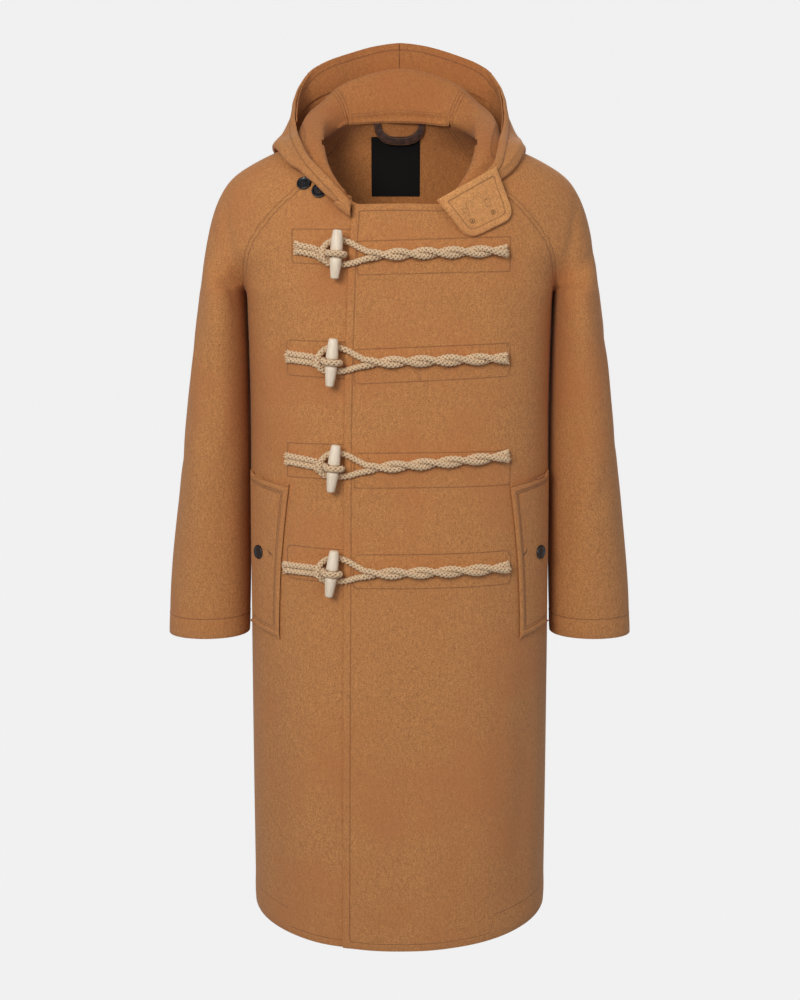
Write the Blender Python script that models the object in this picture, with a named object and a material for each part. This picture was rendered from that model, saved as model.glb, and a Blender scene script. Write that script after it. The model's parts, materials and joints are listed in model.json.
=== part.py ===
"""A long hooded duffle coat in heavy wool, filled out as if worn, fastened with rope loops and toggles.

Metres, +Z up, the front faces -Y and the wearer's left is +X. The origin is at the base of the neck,
midway between the shoulders, where the wearer holds the coat up.

The coat's outer surface is made once, as grids of points worked out from the tables below. Its faces are
then cut into the pieces that a maker would sew, and each piece becomes a wall of real thickness.
"""

from math import cos, pi, radians, sin

import bmesh
import bpy
from mathutils import Vector
from mathutils.bvhtree import BVHTree

# Cloth.
CLOTH = 0.003  # heavy melton
GAP = 0.0003  # between pieces that touch
SEAM_PULL = 0.00027  # how far each piece is drawn back from a seam
UNDER = 0.0040  # how far the covered front lies behind the one over it

# The coat's pieces, in the order of their numbers.
PANELS = (
    "front_left",
    "front_right",
    "back",
    "sleeve_left",
    "sleeve_right",
    "hood_left",
    "hood_right",
    "hood_centre",
)

HOOD_FIRST = PANELS.index("hood_left")
HOOD_CENTRE = PANELS.index("hood_centre")

# Steps along and around the grids.
TORSO_STEPS = 10
UPPER_STEPS = 16
SLEEVE_STEPS = 8
LAP_COLUMNS = 4
FRONT_COLUMNS = 6
QUARTER_COLUMNS = 6
HALF_SLEEVE_COLUMNS = 6

# Rings of the body below the armhole, from the hem up.
TORSO_COLUMNS = ("height", "half_width", "front", "back", "dip", "fullness")
TORSO = (
    (-1.184, 0.2255, 0.182, 0.166, 0.016, 0.62),
    (-1.000, 0.2260, 0.171, 0.156, 0.009, 0.63),
    (-0.800, 0.2258, 0.160, 0.144, 0.004, 0.64),
    (-0.600, 0.2248, 0.149, 0.132, 0.001, 0.67),
    (-0.420, 0.2225, 0.140, 0.124, 0.000, 0.71),
    (-0.330, 0.2235, 0.136, 0.121, 0.000, 0.75),
    (-0.250, 0.2260, 0.132, 0.119, 0.000, 0.80),
)
# Fullness is the length of a ring's handles, as a share of its half width and depth.
CHEST_FULLNESS = 0.62
CHEST_LEVEL = 4

# Levels over the armhole, from the underarm (0) to the neck (8). Each runs from the centre front to the
# front raglan seam, over the sleeve and back down to the back seam and the centre back.
NECK_CORNER_LEVEL = 5
TOP_LEVEL = 8
FRONT_CENTRE_COLUMNS = ("depth", "height")
FRONT_CENTRE = (
    (0.1320, -0.2500),
    (0.1312, -0.2320),
    (0.1298, -0.2120),
    (0.1270, -0.1860),
    (0.1220, -0.1550),
    (0.1140, -0.1225),
)
NECK_FRONT_COLUMNS = ("x", "y", "z")
NECK_FRONT = (
    (0.0580, -0.1130, -0.1228),
    (0.0790, -0.1055, -0.1080),
    (0.0915, -0.0945, -0.0930),
    (0.1000, -0.0800, -0.0780),
)
FRONT_SEAM_COLUMNS = ("x", "y", "z", "arrive", "leave", "reach")
FRONT_SEAM = (
    (0.2260, 0.0000, -0.2500, 90.0, -90.0, 0.128),
    (0.2268, -0.0270, -0.2430, 84.0, -76.0, 0.088),
    (0.2258, -0.0530, -0.2240, 68.0, -42.0, 0.048),
    (0.2215, -0.0790, -0.1950, 42.0, 12.0, 0.034),
    (0.2058, -0.0880, -0.1630, 28.0, 24.0, 0.040),
    (0.1794, -0.0940, -0.1310, 20.0, 20.0, 0.046),
    (0.1560, -0.0945, -0.1090, 16.0, 16.0, 0.044),
    (0.1290, -0.0900, -0.0885, 20.0, 20.0, 0.036),
    (0.1000, -0.0800, -0.0780, 40.0, 62.0, 0.026),
)
RIDGE_COLUMNS = ("x", "y", "z", "reach_front", "reach_back")
RIDGE = (
    (0.2955, 0.0040, -0.2500, 0.128, 0.128),
    (0.2915, 0.0030, -0.2250, 0.100, 0.104),
    (0.2880, 0.0010, -0.2000, 0.068, 0.076),
    (0.2810, -0.0010, -0.1620, 0.050, 0.060),
    (0.2690, -0.0030, -0.1220, 0.050, 0.060),
    (0.2480, -0.0050, -0.0865, 0.052, 0.062),
    (0.2150, -0.0070, -0.0625, 0.050, 0.060),
    (0.1700, -0.0090, -0.0415, 0.044, 0.054),
    (0.1145, -0.0100, -0.0240, 0.034, 0.040),
)
BACK_SEAM_COLUMNS = ("x", "y", "z", "arrive", "leave", "reach")
BACK_SEAM = (
    (0.2260, 0.0000, -0.2500, 90.0, -90.0, 0.128),
    (0.2268, 0.0280, -0.2420, 82.0, -74.0, 0.086),
    (0.2245, 0.0560, -0.2200, 62.0, -34.0, 0.050),
    (0.2140, 0.0870, -0.1830, 38.0, 20.0, 0.040),
    (0.1900, 0.1020, -0.1430, 26.0, 24.0, 0.044),
    (0.1650, 0.1100, -0.1030, 20.0, 20.0, 0.048),
    (0.1350, 0.1090, -0.0660, 20.0, 20.0, 0.046),
    (0.1000, 0.0960, -0.0300, 24.0, 24.0, 0.040),
    (0.0765, 0.0595, 0.0030, 36.0, 36.0, 0.026),
)
BACK_CENTRE_COLUMNS = ("depth", "height")
BACK_CENTRE = (
    (0.1190, -0.2500),
    (0.1192, -0.2250),
    (0.1192, -0.1950),
    (0.1182, -0.1600),
    (0.1160, -0.1220),
    (0.1118, -0.0850),
    (0.1045, -0.0500),
    (0.0930, -0.0180),
    (0.0770, 0.0120),
)

# The free edge of the front that laps over the other, and the hidden edge under it.
FRONT_EDGE_COLUMNS = ("height", "x")
FRONT_EDGE = (
    (-1.200, -0.0835),
    (-0.400, -0.0782),
    (-0.190, -0.0714),
    (-0.1225, -0.0660),
)
HIDDEN_EDGE = 0.052
SINK_FROM = -0.0995  # the covered front starts to step back here
SINK_TO = -0.0845

# Rings of the sleeve below the armhole, from the cuff up.
SLEEVE_COLUMNS = ("height", "inner", "outer", "reach_front", "reach_back", "centre")
SLEEVE = (
    (-0.762, 0.2305, 0.3535, 0.082, 0.088, 0.004),
    (-0.680, 0.2278, 0.3475, 0.092, 0.096, 0.008),
    (-0.600, 0.2268, 0.3390, 0.102, 0.106, 0.010),
    (-0.500, 0.2252, 0.3285, 0.114, 0.118, 0.010),
    (-0.420, 0.2247, 0.3187, 0.122, 0.126, 0.008),
    (-0.330, 0.2253, 0.3070, 0.127, 0.130, 0.005),
    (-0.250, 0.2260, 0.2955, 0.128, 0.128, 0.004),
)

SLEEVE_CENTRED = 0.1  # this far under the armhole, the underarm seam is at the ring's centre

# The hood lies folded back. Its cloth rises from the neckline, rolls over, falls behind and turns up
# again to the face edge. Each line runs round the neck from the front corner (0) to the nape (1).
HOOD_LINE_COLUMNS = ("along", "x", "y", "z")
HOOD_STAND = (
    (0.000, 0.0590, -0.1125, -0.1210),
    (0.081, 0.0800, -0.1045, -0.1060),
    (0.218, 0.1000, -0.0795, -0.0755),
    (0.369, 0.1115, -0.0440, -0.0410),
    (0.494, 0.1135, -0.0080, -0.0160),
    (0.611, 0.1080, 0.0270, 0.0020),
    (0.717, 0.0895, 0.0545, 0.0130),
    (0.814, 0.0640, 0.0690, 0.0220),
    (1.000, 0.0000, 0.0760, 0.0310),
)
HOOD_ROLL = (
    (0.000, 0.0600, -0.1140, -0.1195),
    (0.081, 0.0815, -0.1065, -0.1040),
    (0.218, 0.1030, -0.0820, -0.0730),
    (0.369, 0.1180, -0.0450, -0.0380),
    (0.494, 0.1240, -0.0040, -0.0100),
    (0.611, 0.1210, 0.0400, 0.0140),
    (0.717, 0.1040, 0.0740, 0.0380),
    (0.814, 0.0760, 0.0910, 0.0640),
    (1.000, 0.0000, 0.0970, 0.0840),
)
HOOD_FALL = (
    (0.000, 0.0610, -0.1155, -0.1230),
    (0.081, 0.0840, -0.1090, -0.1080),
    (0.218, 0.1090, -0.0870, -0.0780),
    (0.369, 0.1300, -0.0500, -0.0440),
    (0.494, 0.1400, -0.0020, -0.0150),
    (0.611, 0.1400, 0.0480, 0.0060),
    (0.717, 0.1230, 0.0900, 0.0220),
    (0.814, 0.0920, 0.1120, 0.0400),
    (1.000, 0.0000, 0.1200, 0.0540),
)
HOOD_BAG = (
    (0.000, 0.0660, -0.1215, -0.1430),
    (0.081, 0.0830, -0.1170, -0.1300),
    (0.218, 0.1230, -0.0970, -0.0950),
    (0.369, 0.1580, -0.0650, -0.0720),
    (0.494, 0.1810, -0.0050, -0.0465),
    (0.611, 0.1850, 0.0540, -0.0480),
    (0.717, 0.1660, 0.1120, -0.0800),
    (0.814, 0.1180, 0.1500, -0.1250),
    (1.000, 0.0000, 0.1640, -0.1600),
)
HOOD_EDGE = (
    (0.000, 0.0650, -0.1275, -0.1210),
    (0.081, 0.0870, -0.1190, -0.0990),
    (0.218, 0.1080, -0.1060, -0.0770),
    (0.369, 0.1265, -0.0840, -0.0570),
    (0.494, 0.1430, -0.0300, -0.0300),
    (0.611, 0.1560, 0.0440, 0.0160),
    (0.717, 0.1510, 0.1130, 0.0680),
    (0.814, 0.1110, 0.1430, 0.1050),
    (1.000, 0.0000, 0.1610, 0.1340),
)
HOOD_TURN = 0.0055  # half the width of the turn at the bottom of the fold
HOOD_TURN_RISE = 0.008  # from the bottom to the turn's ends
# Points of the turn: shares of its rise and half width, and of the height from its inner to its outer side.
HOOD_TURN_SHARE_COLUMNS = ("up", "out", "lift")
HOOD_TURN_SHARES = (
    (1.00, -1.00, 0.00),
    (0.15, -0.55, 0.22),
    (0.15, 0.55, 0.78),
    (1.00, 1.00, 1.00),
)
HOOD_SAG_REACH = 0.025
HOOD_SAG = 0.4  # the falling side's height over the coat, as a share of that of a straight fall
HOOD_BULGE = 0.007  # how far the outer side swells, at most
HOOD_BULGED = 0.06  # the same as a share of its width, at most
HOOD_CLEAR = 0.0015  # between the folded hood and the coat that it lies on
HOOD_OVER = 0.0105  # from the coat to the outer side of the fold
HOOD_ON_BUTTONS = 0.0036  # how much higher it lies at the wearer's right
HOOD_RIGHT_START = 1  # the covered side's hood begins this many points from the front corner
HOOD_RIGHT_FROM = -0.0680
HOOD_PULL = 0.014  # how far out the tab draws the face edge, at the wearer's left
HOOD_TUCK = 0.014  # how far in the fold's corner lies behind the tab
HOOD_TUCKED = 0.2
HOOD_PULLED = 0.5  # the share of the neckline over which it does
HOOD_STEPS = (1, 2, 2, 1, 1, 1, 1, 1, 1, 1, 2)  # grid rows between the lines of the fold
FACING_WIDTH = 0.050  # inside the face edge
FACING_MOST = 0.6  # share of the outer side that it may cover
FACING_CLOTH = 0.0016
FACING_START = 13  # columns of the hood from its corner to the start of the facing

# Fastenings, from the top. Each has a toggle on a short doubled cord at the wearer's right and a long
# twisted loop of cord at the wearer's left.
FASTENING_COLUMNS = ("toggle_x", "toggle_z", "lean", "short_x", "short_z", "long_x", "long_z")
FASTENINGS = (
    (-0.0883, -0.1931, 4.0, -0.1475, -0.1800, 0.1520, -0.1875),
    (-0.0954, -0.3436, 5.0, -0.1625, -0.3340, 0.1534, -0.3373),
    (-0.0933, -0.4931, 7.0, -0.1655, -0.4790, 0.1556, -0.4766),
    (-0.0955, -0.6426, 7.0, -0.1685, -0.6391, 0.1579, -0.6379),
)
TOGGLE_COLUMNS = ("along", "radius")
TOGGLE = (
    (-0.0340, 0.0040),
    (-0.0328, 0.0058),
    (-0.0058, 0.0086),
    (-0.0050, 0.0061),
    (0.0050, 0.0061),
    (0.0058, 0.0088),
    (0.0328, 0.0066),
    (0.0340, 0.0048),
)
TOGGLE_SIDES = 12
TOGGLE_LIFT = 0.0185  # from the cloth to the toggle's axis
CORD_RADIUS = 0.0036
CORD_PAIR = 0.0042  # half the distance between a doubled cord's strands
CORD_LIFT = 0.0043  # from the cloth to the cord's axis, where it lies
CORD_SIDES = 1  # bevel_resolution: six sides
CORD_SPACING = 0.007
SHORT_BEND = 0.040  # from the toggle to where the short cord turns toward its sewn end
TWIST_START = 0.044  # from the toggle to where the long loop's strands meet
HALF_TWISTS = 5
TWIST_POINTS = 4  # in each half twist

# Routes about a toggle's centre: right, up and away from the cloth.
SHORT_ROUTE_COLUMNS = ("right", "up", "away")
SHORT_ROUTE = (
    (-0.0250, 0.0041, 0.0044),
    (-0.0185, 0.0041, 0.0056),
    (-0.0130, 0.0030, 0.0132),
    (-0.0080, 0.0014, 0.0255),
    (0.0000, 0.0002, 0.0288),
    (0.0080, -0.0004, 0.0255),
    (0.0106, -0.0004, 0.0180),
    (0.0070, -0.0006, 0.0105),
    (0.0000, -0.0012, 0.0081),
    (-0.0080, -0.0030, 0.0080),
    (-0.0150, -0.0041, 0.0056),
    (-0.0250, -0.0041, 0.0044),
)
LOOP_ROUTE_COLUMNS = ("right", "up", "away")
LOOP_ROUTE = (
    (0.0300, 0.0075, 0.0044),
    (0.0170, 0.0140, 0.0044),
    (0.0030, 0.0170, 0.0044),
    (-0.0100, 0.0165, 0.0056),
    (-0.0200, 0.0120, 0.0104),
    (-0.0245, 0.0045, 0.0144),
    (-0.0245, -0.0045, 0.0144),
    (-0.0200, -0.0120, 0.0104),
    (-0.0100, -0.0165, 0.0056),
    (0.0030, -0.0170, 0.0044),
    (0.0170, -0.0140, 0.0044),
    (0.0300, -0.0075, 0.0044),
)

# Pocket welts: x and height of the corners, at the wearer's left.
POCKET_INNER_TOP = (0.1573, -0.5229)
POCKET_OUTER_TOP = (0.2180, -0.5075)
POCKET_INNER_FOOT = (0.1735, -0.7469)
POCKET_OUTER_FOOT = (0.2180, -0.7330)
POCKET_EDGES = ((POCKET_INNER_TOP, POCKET_INNER_FOOT), (POCKET_OUTER_TOP, POCKET_OUTER_FOOT))
POCKET_BOW = 0.0045  # of the front edge
POCKET_CLOTH = 0.0030
POCKET_ROWS = (7, 6, 5)  # rows and columns of the front's mesh that cross the pocket
POCKET_COLUMNS = (3, 4)
POCKET_BUTTON = (0.2035, -0.6243)

LIFT = 0.0005  # under a piece that is laid on a panel
BUTTON_PROFILE_COLUMNS = ("radius", "height")
BUTTON_PROFILE = (
    (0.0098, 0.0000),
    (0.0105, 0.0010),
    (0.0103, 0.0030),
    (0.0092, 0.0036),
    (0.0072, 0.0026),
)
BUTTON_SIDES = 14

# The throat tab, turned out over the wearer's left chest: its corners, from the neck round.
TAB_CORNER_COLUMNS = ("x", "z")
TAB_CORNERS = (
    (0.0505, -0.1195),
    (0.1335, -0.0729),
    (0.1600, -0.1429),
    (0.0950, -0.1741),
)
TAB_LIFT = 0.0016
TAB_OUT = Vector((0.30, -0.93, 0.20)).normalized()
TAB_ROUND = 0.22  # of its side, at the free corners
TAB_CLOTH = 0.0050
TAB_STEPS = 8
HOOD_BUTTONS_COLUMNS = ("x", "z")
HOOD_BUTTONS = ((-0.1345, -0.0945), (-0.1130, -0.1050))

# Inside the neck.
TAPE_CLOTH = 0.0012
LABEL_CENTRE = (-0.0060, -0.0575)
LABEL_SIZE = (0.0740, 0.0890)
LABEL_CLOTH = 0.0008
LABEL_STEPS = (4, 4)
LOOP_STRAP_COLUMNS = ("x", "z", "away")
LOOP_STRAP = (
    (-0.0340, 0.0070, 0.0000),
    (-0.0325, -0.0030, 0.0020),
    (-0.0230, -0.0125, 0.0050),
    (-0.0080, -0.0170, 0.0062),
    (0.0080, -0.0170, 0.0062),
    (0.0230, -0.0125, 0.0050),
    (0.0325, -0.0030, 0.0020),
    (0.0340, 0.0070, 0.0000),
)
STRAP_WIDTH = 0.0110
STRAP_CLOTH = 0.0018

# Colours are linear, as the shader takes them.
WOOL = (0.418, 0.181, 0.070, 1.0)
ROPE = (0.591, 0.381, 0.223, 1.0)
WOOD = (0.823, 0.694, 0.552, 1.0)
HORN = (0.008, 0.010, 0.014, 1.0)
LEATHER = (0.045, 0.018, 0.010, 1.0)
BLACK = (0.008, 0.007, 0.007, 1.0)


def mix(a, b, t):
    return a + (b - a) * t


def row_at(table, place):
    """The numbers at a fractional place in a table, on a smooth curve through its rows."""
    last = len(table) - 1
    i = min(int(place), last - 1)
    t = place - i
    before, start, end, after = (table[max(0, min(last, i + k))] for k in (-1, 0, 1, 2))
    found = []
    for a, b, c, d in zip(before, start, end, after):
        slope_in = 0.5 * (c - a)
        slope_out = 0.5 * (d - b)
        bend = 3 * (c - b) - 2 * slope_in - slope_out
        twist = 2 * (b - c) + slope_in + slope_out
        found.append(b + t * (slope_in + t * (bend + t * twist)))
    return found


def place_of(table, key):
    """Where a first-column value falls in a table that is sorted by it."""
    last = len(table) - 1
    for i in range(last):
        if key <= table[i + 1][0] or i == last - 1:
            return i + (key - table[i][0]) / (table[i + 1][0] - table[i][0])


def bezier(handles, t):
    a, b, c, d = handles
    s = 1 - t
    return a * s**3 + b * 3 * s * s * t + c * 3 * s * t * t + d * t**3


def heading(degrees):
    """A level direction, from +X (0) round to +Y (90)."""
    return Vector((cos(radians(degrees)), sin(radians(degrees)), 0))


def mirrored(point, side):
    return Vector((point.x * side, point.y, point.z))


def torso_quarter(height, back=False):
    """Handles of a quarter ring, from the centre front or back to the side seam."""
    level, width, front, rear, dip, fullness = row_at(TORSO, place_of(TORSO, height))
    depth = rear if back else -front
    low = height if back else height - dip
    middle = Vector((0, depth, low))
    side = Vector((width, 0, height))
    return (
        middle,
        middle + Vector((width * fullness, 0, 0)),
        side + Vector((0, depth * fullness, 0)),
        side,
    )


def upper_quarter(level, back=False):
    """Handles of a level's curve from the centre, or from the neckline, to the raglan seam."""
    seam = row_at(BACK_SEAM if back else FRONT_SEAM, level)
    end = Vector(seam[:3])
    flip = -1 if back else 1
    arrive = heading(seam[3])
    arrive.y *= flip
    if back or level <= NECK_CORNER_LEVEL:
        depth, height = row_at(BACK_CENTRE if back else FRONT_CENTRE, level)
        start = Vector((0, depth * -flip, height))
        leave = Vector((1, 0, 0))
        share = mix(TORSO[-1][-1], CHEST_FULLNESS, min(1, level / CHEST_LEVEL))
    else:
        start = Vector(row_at(NECK_FRONT, level - NECK_CORNER_LEVEL))
        leave = (end - start).normalized()
        share = 0.33
    span = end.x - start.x
    pull = max(abs(end.y - start.y) * share, 0.3 * span * (1 - seam[3] / 90))
    return (start, start + leave * span * share, end - arrive * pull, end)


def sleeve_half(level, back=False):
    """Handles of a level's curve from the raglan seam up to the ridge of the sleeve."""
    seam = row_at(BACK_SEAM if back else FRONT_SEAM, level)
    ridge = row_at(RIDGE, level)
    start = Vector(seam[:3])
    top = Vector(ridge[:3])
    flip = -1 if back else 1
    leave = heading(seam[4])
    leave.y *= flip
    rise = (top - start).normalized()
    if level > 2:
        leave = (leave + Vector((0, 0, rise.z * 0.5 * min(1, level - 2)))).normalized()
    reach = ridge[4] if back else ridge[3]
    return (start, start + leave * seam[5], top - Vector((0, reach * flip, 0)), top)


def cuff_half(height, back=False):
    """Handles of half a sleeve ring, from the underarm seam to the outer side."""
    level, inner, outer, reach_front, reach_back, centre = row_at(SLEEVE, place_of(SLEEVE, height))
    reach = reach_back if back else -reach_front
    below = min(1, (SLEEVE[-1][0] - height) / SLEEVE_CENTRED)
    start = Vector((inner, centre * below, height))
    end = Vector((outer, centre, height))
    return (start, start + Vector((0, reach, 0)), end + Vector((0, reach, 0)), end)


def share_at_x(handles, x):
    """Where along a curve its x reaches the given value."""
    low, high = 0.0, 1.0
    for _ in range(40):
        middle = (low + high) / 2
        if bezier(handles, middle).x < x:
            low = middle
        else:
            high = middle
    return (low + high) / 2


def front_rows():
    """Handles of each row of a front, from the hem to the neck."""
    lowest = TORSO[0][0]
    highest = TORSO[-1][0]
    rows = [torso_quarter(mix(lowest, highest, i / TORSO_STEPS)) for i in range(TORSO_STEPS)]
    rows += [upper_quarter(TOP_LEVEL * i / UPPER_STEPS) for i in range(UPPER_STEPS + 1)]
    return rows


def back_rows():
    lowest = TORSO[0][0]
    highest = TORSO[-1][0]
    rows = [torso_quarter(mix(lowest, highest, i / TORSO_STEPS), True) for i in range(TORSO_STEPS)]
    rows += [upper_quarter(TOP_LEVEL * i / UPPER_STEPS, True) for i in range(UPPER_STEPS + 1)]
    return rows


CORNER_ROW = TORSO_STEPS + UPPER_STEPS * NECK_CORNER_LEVEL // TOP_LEVEL
NECK_CORNER = NECK_FRONT[0][0]


def front_points(handles, row, side, edge_x):
    """Points of one row of a front, from its free edge to its side or raglan seam."""
    points = []
    if row <= CORNER_ROW:
        corner = share_at_x(handles, NECK_CORNER)
        for i in range(LAP_COLUMNS):
            x = mix(edge_x, NECK_CORNER, i / LAP_COLUMNS)
            point = bezier(handles, share_at_x(handles, abs(x)))
            point.x = x
            points.append(point)
    else:
        corner = 0.0
    for i in range(FRONT_COLUMNS + 1):
        points.append(bezier(handles, mix(corner, 1, i / FRONT_COLUMNS)))
    return [mirrored(point, side) for point in points]


def add_sheet(mesh, rows, panel):
    """A grid of quads on rows of points of equal length, marked with its panel's number.

    The layers "cell" and "row" keep each face's place along its row, and its row.
    """
    columns = len(rows[0])
    cell = mesh.faces.layers.int.get("cell") or mesh.faces.layers.int.new("cell")
    level = mesh.faces.layers.int.get("row") or mesh.faces.layers.int.new("row")
    made = bmesh.ops.create_grid(mesh, x_segments=columns - 1, y_segments=len(rows) - 1, size=1)
    places = {}
    for number, vert in enumerate(made["verts"]):
        vert.co = rows[number // columns][number % columns]
        places[vert] = number
    for face in {face for vert in places for face in vert.link_faces}:
        face.material_index = panel
        face[cell] = min(places[vert] % columns for vert in face.verts)
        face[level] = min(places[vert] // columns for vert in face.verts)


def sunk(point):
    """A point of the covered front, stepped back under the front that laps over it."""
    share = min(1, max(0, (point.x - SINK_FROM) / (SINK_TO - SINK_FROM)))
    return point + Vector((0, UNDER * share * share * (3 - 2 * share), 0))


def add_fronts(mesh):
    """The wearer's left front laps over the right one, which steps back under it."""
    for name, side in (("front_left", 1), ("front_right", -1)):
        panel = PANELS.index(name)
        rows = []
        for number, handles in enumerate(front_rows()):
            if side > 0:
                edge_x = row_at(FRONT_EDGE, place_of(FRONT_EDGE, handles[0].z))[1]
            else:
                edge_x = -HIDDEN_EDGE
            points = front_points(handles, number, side, edge_x)
            rows.append(points if side > 0 else [sunk(point) for point in points])
        lap = [row[: LAP_COLUMNS + 1] for row in rows[: CORNER_ROW + 1]]
        rest = [row[LAP_COLUMNS:] if number <= CORNER_ROW else row for number, row in enumerate(rows)]
        add_sheet(mesh, lap, panel)
        add_sheet(mesh, rest, panel)


def add_back(mesh):
    rows = []
    for handles in back_rows():
        half = [bezier(handles, i / QUARTER_COLUMNS) for i in range(QUARTER_COLUMNS + 1)]
        rows.append([mirrored(point, -1) for point in half[:0:-1]] + half)
    add_sheet(mesh, rows, PANELS.index("back"))


def add_sleeves(mesh):
    lowest = SLEEVE[0][0]
    highest = SLEEVE[-1][0]
    heights = [mix(lowest, highest, i / SLEEVE_STEPS) for i in range(SLEEVE_STEPS)]
    halves = [(cuff_half(height), cuff_half(height, True)) for height in heights]
    levels = [TOP_LEVEL * i / UPPER_STEPS for i in range(UPPER_STEPS + 1)]
    halves += [(sleeve_half(level), sleeve_half(level, True)) for level in levels]
    columns = HALF_SLEEVE_COLUMNS
    for name, side in (("sleeve_left", 1), ("sleeve_right", -1)):
        rows = []
        for front, rear in halves:
            points = [bezier(front, i / columns) for i in range(columns + 1)]
            points += [bezier(rear, i / columns) for i in range(columns - 1, -1, -1)]
            rows.append([mirrored(point, side) for point in points])
        add_sheet(mesh, rows, PANELS.index(name))


def neck_points():
    """Half the neckline, from the front corner to the nape, in the same steps as the body's sheets."""
    start = UPPER_STEPS * NECK_CORNER_LEVEL // TOP_LEVEL
    levels = [TOP_LEVEL * i / UPPER_STEPS for i in range(start, UPPER_STEPS + 1)]
    front = [bezier(upper_quarter(level), 0) for level in levels]
    corner = upper_quarter(NECK_CORNER_LEVEL)
    front[0] = bezier(corner, share_at_x(corner, NECK_CORNER))
    steps = HALF_SLEEVE_COLUMNS
    side = [bezier(sleeve_half(TOP_LEVEL), i / steps) for i in range(1, steps + 1)]
    side += [bezier(sleeve_half(TOP_LEVEL, True), i / steps) for i in range(steps - 1, -1, -1)]
    back = upper_quarter(TOP_LEVEL, True)
    nape = [bezier(back, i / QUARTER_COLUMNS) for i in range(QUARTER_COLUMNS - 1, -1, -1)]
    return front + side + nape


def held_off(tree, point, lift):
    """The point, moved out to at least the lift from the coat's body."""
    place, normal, _, _ = tree.find_nearest(point)
    if (point - place).dot(normal) < lift:
        return place + normal * lift
    return point


def sagged(tree, point, lift):
    """The point let down toward the coat, if it is near it."""
    place, normal, _, height = tree.find_nearest(point)
    if height > HOOD_SAG_REACH or (point - place).dot(normal) < 0:
        return held_off(tree, point, lift)
    return place + normal * max(lift, height * HOOD_SAG)


def line_at(line, along):
    """A point of one of the hood's lines, which is even about the nape."""
    share, x, y, z = line[-2]
    whole = line + ((2 - share, -x, y, z),)
    place = min(place_of(line, along), len(line) - 1)
    return Vector(row_at(whole, place)[1:])


def hood_profile(neck, along, reach, tangent, side, tree):
    """Points of the hood's cloth over one point of the neckline, from the neckline to the face edge.

    The far side of the fold may be read at another place, its reach, than the near one.
    """
    near = (HOOD_STAND, HOOD_ROLL, HOOD_FALL)
    stand, roll, fall = (mirrored(line_at(line, along), side) for line in near)
    bag, edge = (mirrored(line_at(line, reach), side) for line in (HOOD_BAG, HOOD_EDGE))
    lift = 0.0
    if side > 0:
        pull = HOOD_PULL * max(0, sin(pi * min(1, along / HOOD_PULLED))) ** 1.5
        edge.x += pull
        bag.x += pull + HOOD_TUCK * max(0, 1 - along / HOOD_TUCKED)
    else:
        stand, roll, fall, bag, edge = (sunk(point) for point in (stand, roll, fall, bag, edge))
        lift = HOOD_ON_BUTTONS * min(1, 2 - 2 * along)
    up = ((fall + edge) / 2 - bag).normalized()
    out = up.cross(tangent).normalized()
    if out.dot(bag - neck) < 0:
        out = -out
    clear = lift + HOOD_CLEAR
    over = lift + HOOD_OVER
    rise = up * HOOD_TURN_RISE
    edge = held_off(tree, edge, over)
    bag = held_off(tree, bag, (clear + over) / 2)
    turn = []
    for up_share, out_share, lift_share in HOOD_TURN_SHARES:
        point = bag + rise * up_share + out * HOOD_TURN * out_share
        turn.append(held_off(tree, point, mix(clear, over, lift_share)))
    inside = turn[0]
    outside = turn[-1]
    falling = sagged(tree, (fall + inside) / 2, clear)
    fall = held_off(tree, fall, HOOD_CLEAR)
    width = (edge - outside).length
    share = min(FACING_MOST, FACING_WIDTH / width)
    bulge = out * min(HOOD_BULGE, width * HOOD_BULGED)
    hem = held_off(tree, edge.lerp(outside, share) + bulge * share, over)
    wall = held_off(tree, (outside + hem) / 2 + bulge, over)
    points = [neck, stand, roll, fall, falling, *turn, wall, hem, edge]
    profile = []
    for i, steps in enumerate(HOOD_STEPS):
        for k in range(steps):
            profile.append(Vector(row_at(points, i + k / steps)))
    return profile + [edge]


def hood_columns(side, tree):
    """Profiles of half the hood, from its front corner to the nape."""
    half = [mirrored(point, side) for point in neck_points()]
    if side < 0:
        half = [sunk(point) for point in half]
    lengths = [0.0]
    for a, b in zip(half, half[1:]):
        lengths.append(lengths[-1] + (b - a).length)
    columns = []
    last = len(half) - 1
    start = 0 if side > 0 else HOOD_RIGHT_START
    for i, neck in enumerate(half[start:], start):
        after = half[i + 1] if i < last else mirrored(half[i - 1], -1)
        tangent = (after - half[max(0, i - 1)]).normalized()
        along = lengths[i] / lengths[-1]
        columns.append(hood_profile(neck, along, along if i > start else 0, tangent, side, tree))
    if side < 0:
        for point in columns[0][1:]:
            point.x = min(point.x, HOOD_RIGHT_FROM)
    return columns


def add_hood(mesh):
    """Two side panels and a centre panel, sewn to the neckline."""
    tree = BVHTree.FromBMesh(mesh)
    left = hood_columns(1, tree)
    right = hood_columns(-1, tree)
    add_sheet(mesh, left[:-QUARTER_COLUMNS], PANELS.index("hood_left"))
    add_sheet(mesh, right[:-QUARTER_COLUMNS], PANELS.index("hood_right"))
    centre = left[-QUARTER_COLUMNS - 1 :] + right[-2 : -QUARTER_COLUMNS - 2 : -1]
    add_sheet(mesh, centre, HOOD_CENTRE)


def weld(mesh):
    bmesh.ops.remove_doubles(mesh, verts=mesh.verts, dist=0.00005)
    bmesh.ops.dissolve_degenerate(mesh, dist=0.00002, edges=mesh.edges)
    bmesh.ops.recalc_face_normals(mesh, faces=mesh.faces)
    front = min(mesh.faces, key=lambda face: face.calc_center_median().y)
    if front.normal.y > 0:
        bmesh.ops.reverse_faces(mesh, faces=mesh.faces)


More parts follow.
